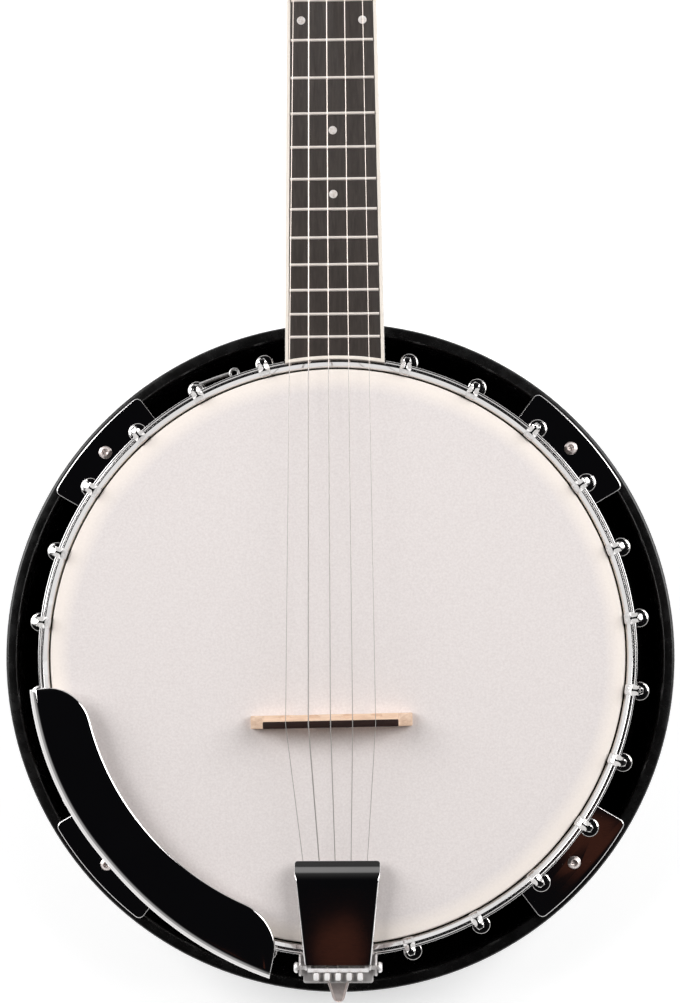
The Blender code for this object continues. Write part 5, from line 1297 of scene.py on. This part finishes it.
def makeTailpieceBase():
    t = tailSizes
    rear = t["rear"]
    right = [(0.0168, -0.1034), (0.0168, rear)]
    plate = slab([rounded(right + [(-x, y) for x, y in reversed(right)], [0.0015, 0.0012, 0.0012, 0.0015], 5)], 0.085, 0.0866, 0.0004, 3)
    ears = []
    for side in (-1, 1):
        low, high = sorted((side * 0.0177, side * 0.0188))
        outline = [(-0.1537, 0.0853), (-0.1537, 0.0905), (-0.1478, 0.0915), (-0.1432, 0.0885), (-0.1432, 0.0853)]
        ears.append(sideways(rounded(outline, [0.0005, 0.0025, 0.003, 0.001, 0.0005], 6), low, high, 0.0004, 3))
        low, high = sorted((side * 0.016, side * 0.0178))
        ears.append(softened(block((low, -0.1537, 0.0853), (high, -0.1432, 0.0865)), 0.0003, 2))
    strap = [
        (-0.1485, 0.0858), (-0.1485, 0.0677), (-0.1391, 0.0577), (-0.1391, 0.036), (-0.1411, 0.036), (-0.1411, 0.0585),
        (-0.1505, 0.0685), (-0.1505, 0.0858),
    ]
    hanger = sideways(rounded(strap, [0, 0.004, 0.004, 0.0004, 0.0004, 0.004, 0.004, 0], 4), -0.00565, 0.00565, 0.0004, 2)
    piece = stand("tailpiece_plate", joined([plate, *ears, hanger]))
    dress(levelled(piece), brushedPlate, nodes=["tailpiece_base"])

    front, back = t["bar"]
    outline = [(front, 0.0861), (front, t["barTop"][0]), (back, t["barTop"][1]), (back, 0.0861)]
    bar = stand("hinge_bar", sideways(outline, -t["barHalf"], t["barHalf"], 0.0002, 2))
    hole = turnedAbout([(0, front + 0.001), (t["barHoles"], front + 0.001), (t["barHoles"], back - 0.001), (0, back - 0.001)], 12)
    for i in range(t["prongs"]):
        place = Matrix.Translation(((i - 2) * t["prongSpacing"], 0, stringSizes["underLid"])) @ Matrix.Rotation(-math.pi / 2, 4, "X")
        cutWith(bar, moved(hole, place))
    bar.data = cleaned(bar.data)
    dress(levelled(bar), softChrome)
    prong = roundedBlock((-0.00125, t["prongFrom"], 0.0862), (0.00125, t["prongTo"], 0.0902), 0.0008, 4)
    prongs = grown("tailpiece_prongs", prong, rowTree, {"Count": t["prongs"], "Spacing": t["prongSpacing"]}, paleChrome)
    dress(prongs, paleChrome)

    # the tongue slopes down behind the plate, with a raised rim round its edge
    rows = []
    for i in range(25):
        part = i / 24
        y = rear + 0.001 + (t["tongueEnd"] - rear - 0.001) * part
        half = 0.0055 - 0.0025 * min(1.0, part * 1.2) ** 0.9
        fromEnd = (y - t["tongueEnd"]) / 0.0022
        if fromEnd < 1:
            half *= math.sqrt(max(0.05, 1 - (1 - fromEnd) ** 2))
        z = 0.0864 - t["tongueDrop"] * part**1.4
        rim = 0.0006
        across = [(-half, 0.0), (-half + 0.0002, rim), (-half + 0.0008, rim), (-half + 0.0012, 0.0)]
        if half < 0.0018:
            across = [(-half, 0.0), (-half * 0.9, rim), (-half * 0.6, rim), (-half * 0.3, rim * (1 - fromEnd * 0.8))]
        line = across + [(-x, h) for x, h in reversed(across)]
        rows.append([Vector((x, y, z + h)) for x, h in line] + [Vector((x, y, z - 0.0011)) for x in (half, -half)])
    dress(stand("tailpiece_tongue", loft(rows, 50)), screwChrome)


def lidTop(y):
    # flat to the lip, then bending down and running on in two slopes
    s = lidSizes
    flatShare = min(1.0, (y - s["pivot"][0]) / (s["lipFrom"] - s["pivot"][0]))
    height = s["rearTop"] + (s["top"] - s["rearTop"]) * flatShare
    bend = 0.0052
    slope = math.tan(math.radians(s["lipSlope"]))
    past = y - s["lipFrom"]
    if past > 0:
        inBend = min(past, bend)
        height -= slope * inBend**2 / (2 * bend) + slope * max(0.0, past - bend)
    past = y - s["bandFrom"]
    if past > 0:
        height += (slope - math.tan(math.radians(s["bandSlope"]))) * past
    return height


def makeTailpieceCover():
    s = lidSizes
    y0, z0 = s["pivot"]
    places = [s["topRear"] + (s["lipFrom"] - s["topRear"]) * i / 14 for i in range(15)]
    places += [s["lipFrom"] + (s["bandFrom"] - s["lipFrom"]) * i / 14 for i in range(1, 15)]
    places += [s["bandFrom"] + (s["end"] - s["bandFrom"]) * i / 14 for i in range(1, 15)]
    wall = s["wall"]
    rings = []
    for y in places:
        half = s["rear"] + (s["front"] - s["rear"]) * min(1.0, (y - y0) / (-0.1029 - y0))
        left = s["end"] - y
        if left < s["corner"]:
            half -= s["corner"] - math.sqrt(max(0.0, s["corner"] ** 2 - (s["corner"] - left) ** 2))
        top = lidTop(y)
        inLip = min(1.0, max(0.0, (y - s["lipFrom"]) / 0.004))
        edge = s["edge"] + (s["lipEdge"] - s["edge"]) * inLip
        low = min(0.0888, top - 0.0008)
        outer = rounded([(half, low), (half, top), (-half, top), (-half, low)], [0, edge, edge, 0], 5, False)
        inside = max(low + 0.00002, top - wall)
        inner = [(-half + wall, low), (-half + wall, inside), (half - wall, inside), (half - wall, low)]
        rings.append([Vector((x, y, z)) for x, z in outer + inner])
    parts = [loft(rings, 30)]
    # the ears that turn on the screws
    ear = arcPoints((y0, z0), 0.0016, 120, 330, 12) + [(y0 + 0.008, 0.0889), (y0 + 0.008, 0.0915), (y0 + 0.001, 0.0915)]
    lean = math.atan((s["front"] - s["rear"]) / (-0.1029 - y0))
    for side in (-1, 1):
        half = sideways([(y - y0, z) for y, z in ear], -wall / 2, wall / 2, 0.0002, 2)
        place = Matrix.Translation((side * (s["rear"] - wall / 2), y0, 0)) @ Matrix.Rotation(-side * lean, 4, "Z")
        parts.append(moved(half, place))
    piece = stand("tailpiece_lid_shell", joined(parts, 30))
    dress(levelled(piece), brightChrome, "tailpiece_lid", ["tailpiece_cover"])
    for number, side in ((1, -1), (2, 1)):
        screw = turnedAbout(
            [(0, 0.0209), (0.0008, 0.0209), (0.0009, 0.0212), (0.0018, 0.0212), (0.0024, 0.0207), (0.0026, 0.0201),
             (0.0026, 0.0195), (0.001, 0.0195), (0.001, 0.013), (0, 0.013)],
            24,
            50,
        )
        place = Matrix.Translation((0, y0, z0)) @ Matrix.Rotation(side * math.pi / 2, 4, "Y")
        piece = stand(f"pivot_screw_{number}", moved(screw, place))
        dress(piece, satinChrome, nodes=[f"tailpiece_screw_{number}"])


makeTailpieceBase()
makeTailpieceCover()
print("tailpiece ready")


armrestSizes = {
    "start": 192.0,
    "end": 264.0,
    "outer": 0.1487,
    "inner": 0.1221,
    "corner": 0.018,
    "thickness": 0.0016,
    "height": 0.0955,
    "crown": 0.0012,
    "innerRound": 0.0011,
    "lipWidth": 0.0036,
    "lipBend": 0.0004,
    "lipSlope": 28.4,
    "rimWidth": 0.0019,
    "rimBend": 0.0003,
    "rimSlope": 40.0,
    "roll": 0.0005,
    "skirt": 0.0016,
    "wall": 0.0014,
}


def armrestEdges(angle):
    s = armrestSizes
    flare = max(0.0, (230.0 - angle) / 38.0)
    outer = s["outer"] + 0.0092 * flare**1.5
    inner = s["inner"] + 0.0056 * ((s["end"] - angle) / 72.0) ** 2
    fromEnd = math.radians(min(angle - s["start"], s["end"] - angle)) * s["inner"]
    if fromEnd < s["corner"]:
        inner += s["corner"] - math.sqrt(max(0.0, s["corner"] ** 2 - (s["corner"] - fromEnd) ** 2))
    return inner, outer


def armrestHeight(fromInner, fromOuter):
    # rounded down along the inner edge; along the outer one a slope, then a rolled edge
    s = armrestSizes
    height = s["height"] - s["crown"] * max(0.0, 1 - fromInner / 0.026) ** 2
    if fromInner < s["innerRound"]:
        height -= s["innerRound"] - math.sqrt(s["innerRound"] ** 2 - (s["innerRound"] - fromInner) ** 2)
    flatTo = math.tan(math.radians(s["lipSlope"]))
    steeper = math.tan(math.radians(s["rimSlope"])) - flatTo
    for width, bend, slope in ((s["lipWidth"], s["lipBend"], flatTo), (s["rimWidth"], s["rimBend"], steeper)):
        past = width - fromOuter
        inBend = max(0.0, min(past, bend))
        height -= slope * inBend**2 / (2 * bend) + slope * max(0.0, past - bend)
    if fromOuter < s["roll"]:
        height -= s["roll"] - math.sqrt(s["roll"] ** 2 - (s["roll"] - fromOuter) ** 2)
    return height


def makeArmrest():
    s = armrestSizes
    cornerTurn = math.degrees(s["corner"] / s["inner"])
    ends = [cornerTurn * (1 - math.cos(math.pi / 2 * i / 10)) for i in range(11)]
    start, end = s["start"] + cornerTurn, s["end"] - cornerTurn
    angles = [s["start"] + e for e in ends[:-1]] + [start + (end - start) * i / 60 for i in range(61)]
    angles += [s["end"] - e for e in reversed(ends[:-1])]
    nearInner = [0.0, 0.02, 0.07, 0.15, 0.28, 0.45, 0.7, 1.0]
    nearOuter = [4.2, 3.6, 3.4, 3.2, 2.6, 2.0, 1.85, 1.7, 1.1, 0.5, 0.4, 0.28, 0.16, 0.07, 0.02, 0.0]
    bm = bmesh.new()
    rows = []
    for angle in angles:
        inner, outer = armrestEdges(angle)
        first, last = 0.0011, outer - inner - 0.0042
        reaches = [s["innerRound"] * r for r in nearInner] + [first + (last - first) * i / 12 for i in range(1, 12)]
        reaches += [outer - inner - r / 1000 for r in nearOuter]
        width = outer - inner
        profile = [(inner + r, armrestHeight(r, width - r)) for r in reaches]
        # down the skirt, round its lower edge, and back under the sheet
        low = profile[-1][1] - s["skirt"]
        under = [width - s["wall"] - 0.0003, width * 0.75, width * 0.5, width * 0.25, 0.0012]
        profile += [(outer - e, low + h) for e, h in ((0, 0.0004), (0.00012, 0.00012), (0.0004, 0))]
        profile += [(outer - s["wall"] + e, low + h) for e, h in ((0.0004, 0), (0.00012, 0.00012), (0, 0.0004))]
        ceiling = armrestHeight(width - s["wall"], s["wall"]) - s["thickness"]
        profile.append((outer - s["wall"], ceiling - 0.0003))
        profile += [(inner + r, armrestHeight(max(r, s["innerRound"]), width - r) - s["thickness"]) for r in under]
        profile.append((inner + 0.0004, profile[-1][1]))
        profile.append((inner, profile[-1][1] + 0.0004))
        rows.append([bm.verts.new(around(r, angle, height)) for r, height in profile])
    count = len(rows[0])
    for near, far in zip(rows, rows[1:]):
        for i in range(count):
            j = (i + 1) % count
            bm.faces.new((near[i], far[i], far[j], near[j]))
    for row in (rows[0], rows[-1]):
        bm.faces.new(row)
    mesh = finished(bm, 60)
    piece = stand("armrest_shell", mesh)
    edge = piece.modifiers.new("edge", "BEVEL")
    edge.width = 0.0004
    edge.segments = 3
    edge.limit_method = "ANGLE"
    edge.angle_limit = math.radians(50)
    applied(piece)
    piece.data = cleaned(piece.data, 60)
    dress(piece, brightChrome, nodes=["armrest_plate"])


bracketSizes = {
    "angles": (214.6, 242.3),
    "barInner": 0.1502,
    "barOuter": 0.1514,
    "low": 0.062,
    "high": 0.067,
    "halfSpan": 8.22,
    "strapWidth": 0.008,
    "strapThick": 0.001,
    "strapTop": 0.089,
    "padInner": 0.133,
    "padOuter": 0.141,
    "jaw": 0.146,
    "screw": 0.002,
    "head": 0.0036,
    "headReach": 0.0008,
    "standInner": 0.1478,
}


def arcBar(inner, outer, halfSpan, low, high, bevel=0.0005):
    outline = [tuple(around(outer, halfSpan * (1 - i / 8)).xy) for i in range(17)]
    outline += [tuple(around(inner, halfSpan * (i / 8 - 1)).xy) for i in range(17)]
    radii = [0.0008] + [0] * 15 + [0.0008] * 2 + [0] * 15 + [0.0008]
    return slab([rounded(outline, radii, 4)], low, high, bevel, 3)


def makeArmrestBrackets():
    s = bracketSizes
    middle = (s["low"] + s["high"]) / 2
    for number, angle in enumerate(s["angles"], 1):
        turn = Matrix.Rotation(-math.radians(angle), 4, "Z")
        inner, outer = armrestEdges(angle)
        padTop = armrestHeight(s["padInner"] - inner, outer - s["padInner"]) - armrestSizes["thickness"] - 0.0004
        back, thick, standAt = s["barInner"] + 0.0002, s["strapThick"], s["standInner"]
        bend = s["high"] + 0.0008
        strap = [
            (back, s["low"]), (back + thick, s["low"]), (back + thick, bend), (standAt + thick, bend + 0.003),
            (standAt + thick, s["strapTop"]), (s["padOuter"], s["strapTop"]),
            (s["padOuter"], padTop), (s["padInner"], padTop), (s["padInner"], s["strapTop"] - thick),
            (standAt, s["strapTop"] - thick), (standAt, bend + 0.0024), (back, bend - 0.0006),
        ]
        radii = [0.0004, 0.0004, 0.001, 0.001, 0.002, 0.001, 0.0008, 0.0008, 0.001, 0.001, 0.001, 0.001]
        half = s["strapWidth"] / 2
        bent = sideways(rounded(strap, radii, 6), -half, half, 0.0005, 3)
        bar = arcBar(s["barInner"], s["barOuter"], s["halfSpan"], s["low"], s["high"])
        piece = stand(f"armrest_strap_{number}", moved(joined([bar, bent]), turn))
        dress(piece, satinChrome, nodes=[f"armrest_bracket_{number}"])

        head, edge = s["barOuter"] + 0.0002, s["headReach"]
        corners = [(s["head"] * math.cos(math.pi / 3 * i), s["head"] * math.sin(math.pi / 3 * i)) for i in range(6)]
        hexHead = slab([corners], head, head + edge, 0.0004, 3)
        screw = turnedAbout([(0, s["jaw"] - 0.001), (s["screw"], s["jaw"] - 0.001), (s["screw"], head + 0.0002), (0, head + 0.0002)], 20)
        lying = Matrix.Translation((0, 0, middle)) @ Matrix.Rotation(-math.pi / 2, 4, "X")
        jaw = arcBar(s["jaw"] - 0.002, s["jaw"], s["halfSpan"], s["low"], s["high"])
        clamp = joined([jaw, moved(hexHead, lying), moved(screw, lying)])
        dress(stand(f"armrest_jaw_{number}", moved(clamp, turn)), softChrome, nodes=[f"armrest_clamp_{number}"])


strapSizes = {"hook": 24, "span": 7.9, "low": 0.063, "high": 0.068, "collar": 0.0037, "eye": 0.0028, "eyeAt": 0.148, "armRadius": 0.001}


def makeStrapBracket():
    s = strapSizes
    start = s["hook"] * 360 / pot["hookPlaces"]
    low, high = s["low"], s["high"]
    middle = (low + high) / 2

    def ring(outer, inner, bottom, top):
        corners = [(inner, bottom), (outer, bottom), (outer, top), (inner, top), (inner, bottom)]
        return turnedAbout(rounded(corners, [0, 0.0006, 0.0006, 0.0004, 0], 4, False), 28, 40)

    collar = moved(ring(s["collar"], pot["fit"] + hookSizes["shaft"] + 0.0002, low, high), Matrix.Translation(around(hookSizes["at"], start)))
    eyeAt = around(s["eyeAt"], start + s["span"])
    eye = moved(ring(s["eye"], s["eye"] * 0.5, low + 0.0005, high - 0.0005), Matrix.Translation(eyeAt))
    arm = tube(
        [around(0.1499 - 0.0012 * i / 12, start + 1.0 + (s["span"] - 1.8) * i / 12, middle) for i in range(13)],
        s["armRadius"],
        12,
    )
    dress(stand("strap_ring", joined([collar, arm, eye])), rodSteel, nodes=["strap_bracket"])


makeArmrest()
makeArmrestBrackets()
makeStrapBracket()
print("armrest and strap bracket ready")


def makeStrings():
    s = stringSizes
    for i, radius in enumerate(s["radii"]):
        number = 5 - i
        prongX = (i - 2) * tailSizes["prongSpacing"]
        height = s["underLid"]
        # a loop round the prong, a short twist, then the plain string
        loop = [
            Vector((prongX + 0.0018 * math.sin(math.radians(a)), -0.154 + 0.0023 * math.cos(math.radians(a)), height - 0.0004))
            for a in range(0, 361, 15)
        ]
        start = Vector((prongX, s["prongFront"] + radius + 0.0003, height))
        bridge = Vector((s["bridge"][i], bridgeSizes["rear"] + bridgeSizes["topDepth"] / 2, s["capTop"] + radius - 0.00005))
        part = (s["lipAt"] - start.y) / (bridge.y - start.y)
        lip = Vector((start.x + (bridge.x - start.x) * part, s["lipAt"], height))
        path = [start, start + (lip - start) * 0.25, lip, lip + (bridge - lip) * 0.5, bridge]
        if number == 5:
            last = neckFrame @ Vector((-0.0174, -0.1622, 0.0026))
            peg = neckFrame @ Vector((-leftEdge(0.14) - 0.0053, -0.14, 0.0036 - 0.0092 + radius + 0.0003))
            path += [bridge + (last - bridge) * 0.5, last, peg]
        else:
            x = s["nut"][i - 1]
            postX, postY = tunerSizes["places"][number]
            side = 1 if postX > 0 else -1
            front, back = neckFrame @ Vector((x, 0, 0.0018)), neckFrame @ Vector((x, 0.005, 0.0018))
            wound = headFrame @ Vector((postX - side * (0.0023 + radius), postY, 0.007))
            path += [bridge + (front - bridge) * 0.5, front, back, wound]
            turns = grown(
                f"string_turns_{number}",
                bpy.data.meshes.new("turns"),
                coilTree,
                {"Turns": s["turns"], "Post Radius": 0.0023 + radius, "Rise": 2.05 * radius * s["turns"], "String Radius": radius},
                stringSteelPaintedLight,
                60,
            )
            flip = Matrix.Diagonal((-side, 1, -1, 1))
            turns.data.transform(headFrame @ Matrix.Translation((postX, postY, 0.007)) @ flip)
            turns.data = cleaned(turns.data, 60)
            dress(turns, stringSteelPaintedLight, f"post_{number}")
        twist = tube([start, start + (lip - start) * 0.14], radius * 1.9, 8)
        mesh = joined([tube(loop, radius, 8), twist, tube(path, radius, 10)], 60)
        dress(stand(f"string_wire_{number}", mesh), stringSteelPaintedLight, nodes=[f"string_{number}"])
    pip = turnedAbout(rounded([(0, 0.0003), (0.0015, 0.0003), (0.0015, 0.0026), (0, 0.0026)], [0, 0, 0.0005, 0], 4, False), 20)
    piece = stand("fifth_pip", moved(pip, Matrix.Translation((-0.0174, -0.164, 0))))
    cutWith(piece, block((-0.0177, -0.168, 0.0021), (-0.0171, -0.160, 0.004)))
    piece.data = cleaned(piece.data)
    piece.data.transform(neckFrame)
    dress(piece, boneFinish, nodes=["fifth_string_nut"])


makeStrings()
print("strings ready")


# carried-over solids that only need a finish
for name, finish in {"coordinator_rod": rodSteel, "truss_rod": rodSteel, "tailpiece_nut": brightChrome}.items():
    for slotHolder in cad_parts[name].material_slots:
        slotHolder.material = finish
print("carried-over solids dressed")


studio = {
    "cameraAt": (0.0585, -0.0139, 1.5),
    "cameraTurn": (0.02865, 0.0402, -0.00605),
    "lens": 105.28,
    "shiftY": 0.0982,
    "floor": 12.0,
    "floorGlow": 0.45,
    "sideLamp": 35.0,
    "horizon": 0.9,
    "warmPatches": ((-0.040, -0.163, 0.011, 0.010), (0.047, -0.055, 0.012, 0.014), (-0.0742, -0.0898, 0.012, 0.012)),
    "ceilingFade": 0.12,
}


def makeStudio():
    s = studio
    camera = bpy.data.objects.new("camera", bpy.data.cameras.new("camera"))
    camera.data.lens = s["lens"]
    camera.data.sensor_width = 36.0
    camera.data.shift_y = s["shiftY"]
    camera.data.clip_end = 100
    camera.location = s["cameraAt"]
    camera.rotation_euler = s["cameraTurn"]
    scene.collection.objects.link(camera)
    scene.camera = camera

    def lamp(name, place, aim, size, power, colour=(1, 1, 1)):
        light = bpy.data.lights.new(name, "AREA")
        light.shape = "RECTANGLE"
        light.size, light.size_y = size
        light.energy = power
        light.color = colour
        holder = bpy.data.objects.new(name, light)
        holder.location = place
        holder.rotation_euler = (Vector(aim) - Vector(place)).to_track_quat("-Z", "Y").to_euler()
        scene.collection.objects.link(holder)

    for side, name in ((-1, "leftSoftbox"), (1, "rightSoftbox")):
        lamp(name, (side * 1.5, 0.7, 1.35), (0, 0.05, 0), (1.2, 1.7), s["sideLamp"])

    floorMesh = bpy.data.meshes.new("floor")
    reach = s["floor"]
    floorMesh.from_pydata([(-reach, -reach, -0.0002), (reach, -reach, -0.0002), (reach, reach, -0.0002), (-reach, reach, -0.0002)], [], [(0, 1, 2, 3)])
    floor = stand("floor", floorMesh)
    material = bpy.data.materials.new("paleFloor")
    material.use_nodes = True
    tree = material.node_tree
    shader = tree.nodes["Principled BSDF"]
    shader.inputs["Base Color"].default_value = (0.92, 0.92, 0.92, 1)
    shader.inputs["Roughness"].default_value = 0.9
    path = put(tree, "ShaderNodeLightPath", {})
    seen = maths(tree, "ADD", path["Is Camera Ray"], path["Is Transmission Ray"])
    seen = maths(tree, "ADD", seen, path["Is Glossy Ray"])
    spot = put(tree, "ShaderNodeTexCoord", {})["Object"]
    away = put(tree, "ShaderNodeVectorMath", {0: spot}, operation="LENGTH")["Value"]
    strength = spread(tree, away, s["floorGlow"], 1.0, 1.0, 3.0)
    glow = put(tree, "ShaderNodeEmission", {"Color": (1, 1, 1, 1), "Strength": maths(tree, "MULTIPLY", seen, strength)})[0]
    both = put(tree, "ShaderNodeAddShader", {0: shader.outputs[0], 1: glow})[0]
    tree.links.new(both, tree.nodes["Material Output"].inputs["Surface"])
    floorMesh.materials.append(material)

    world = bpy.data.worlds.new("studio")
    scene.world = world
    world.use_nodes = True
    tree = world.node_tree
    background = tree.nodes["Background"]
    # bright low down all round, dark overhead with a few warm patches, white behind the object
    spot = put(tree, "ShaderNodeTexCoord", {})["Generated"]
    parts = put(tree, "ShaderNodeSeparateXYZ", {0: spot})
    nearest = 9.0
    for x, y, wide, deep in s["warmPatches"]:
        reach = []
        for axis, middle, size in ((0, x, wide), (1, y, deep)):
            away = maths(tree, "DIVIDE", maths(tree, "SUBTRACT", parts[axis], middle), size)
            reach.append(maths(tree, "POWER", away, 2.0))
        nearest = maths(tree, "MINIMUM", nearest, maths(tree, "ADD", *reach))
    blotches = maths(tree, "MULTIPLY", noise(tree, spot, 90, 2), 1.4)
    inside = spread(tree, maths(tree, "ADD", nearest, blotches), 0.0, 1.0, 1.3, 2.1)
    ceiling = ramp(tree, inside, [(0.0, (0.050, 0.017, 0.011)), (1.0, (0.0035, 0.0035, 0.0042))])
    fade = maths(tree, "MULTIPLY", spread(tree, parts[2], 1.0, 0.0, 0.5, 0.96), s["ceilingFade"])
    fade = maths(tree, "POWER", fade, 1.5)
    grey = put(tree, "ShaderNodeCombineXYZ", {0: fade, 1: fade, 2: fade})[0]
    ceiling = put(tree, "ShaderNodeVectorMath", {0: ceiling, 1: grey}, operation="ADD")[0]
    share = spread(tree, parts[2], 0.0, 1.0, 0.25, 0.55)
    ray = put(tree, "ShaderNodeLightPath", {})
    low = maths(tree, "ADD", s["horizon"], maths(tree, "MULTIPLY", ray["Is Glossy Ray"], 1 - s["horizon"]))
    lowColour = put(tree, "ShaderNodeCombineXYZ", {0: low, 1: low, 2: low})[0]
    shade = put(tree, "ShaderNodeMix", {0: share, 6: lowColour, 7: ceiling}, data_type="RGBA")
    seen = maths(tree, "ADD", ray["Is Camera Ray"], ray["Is Transmission Ray"])
    both = put(tree, "ShaderNodeMix", {0: seen, 6: shade[2], 7: (1, 1, 1, 1)}, data_type="RGBA")
    tree.links.new(both[2], background.inputs["Color"])


makeStudio()
scene.view_settings.view_transform = "Standard"
print("studio ready")
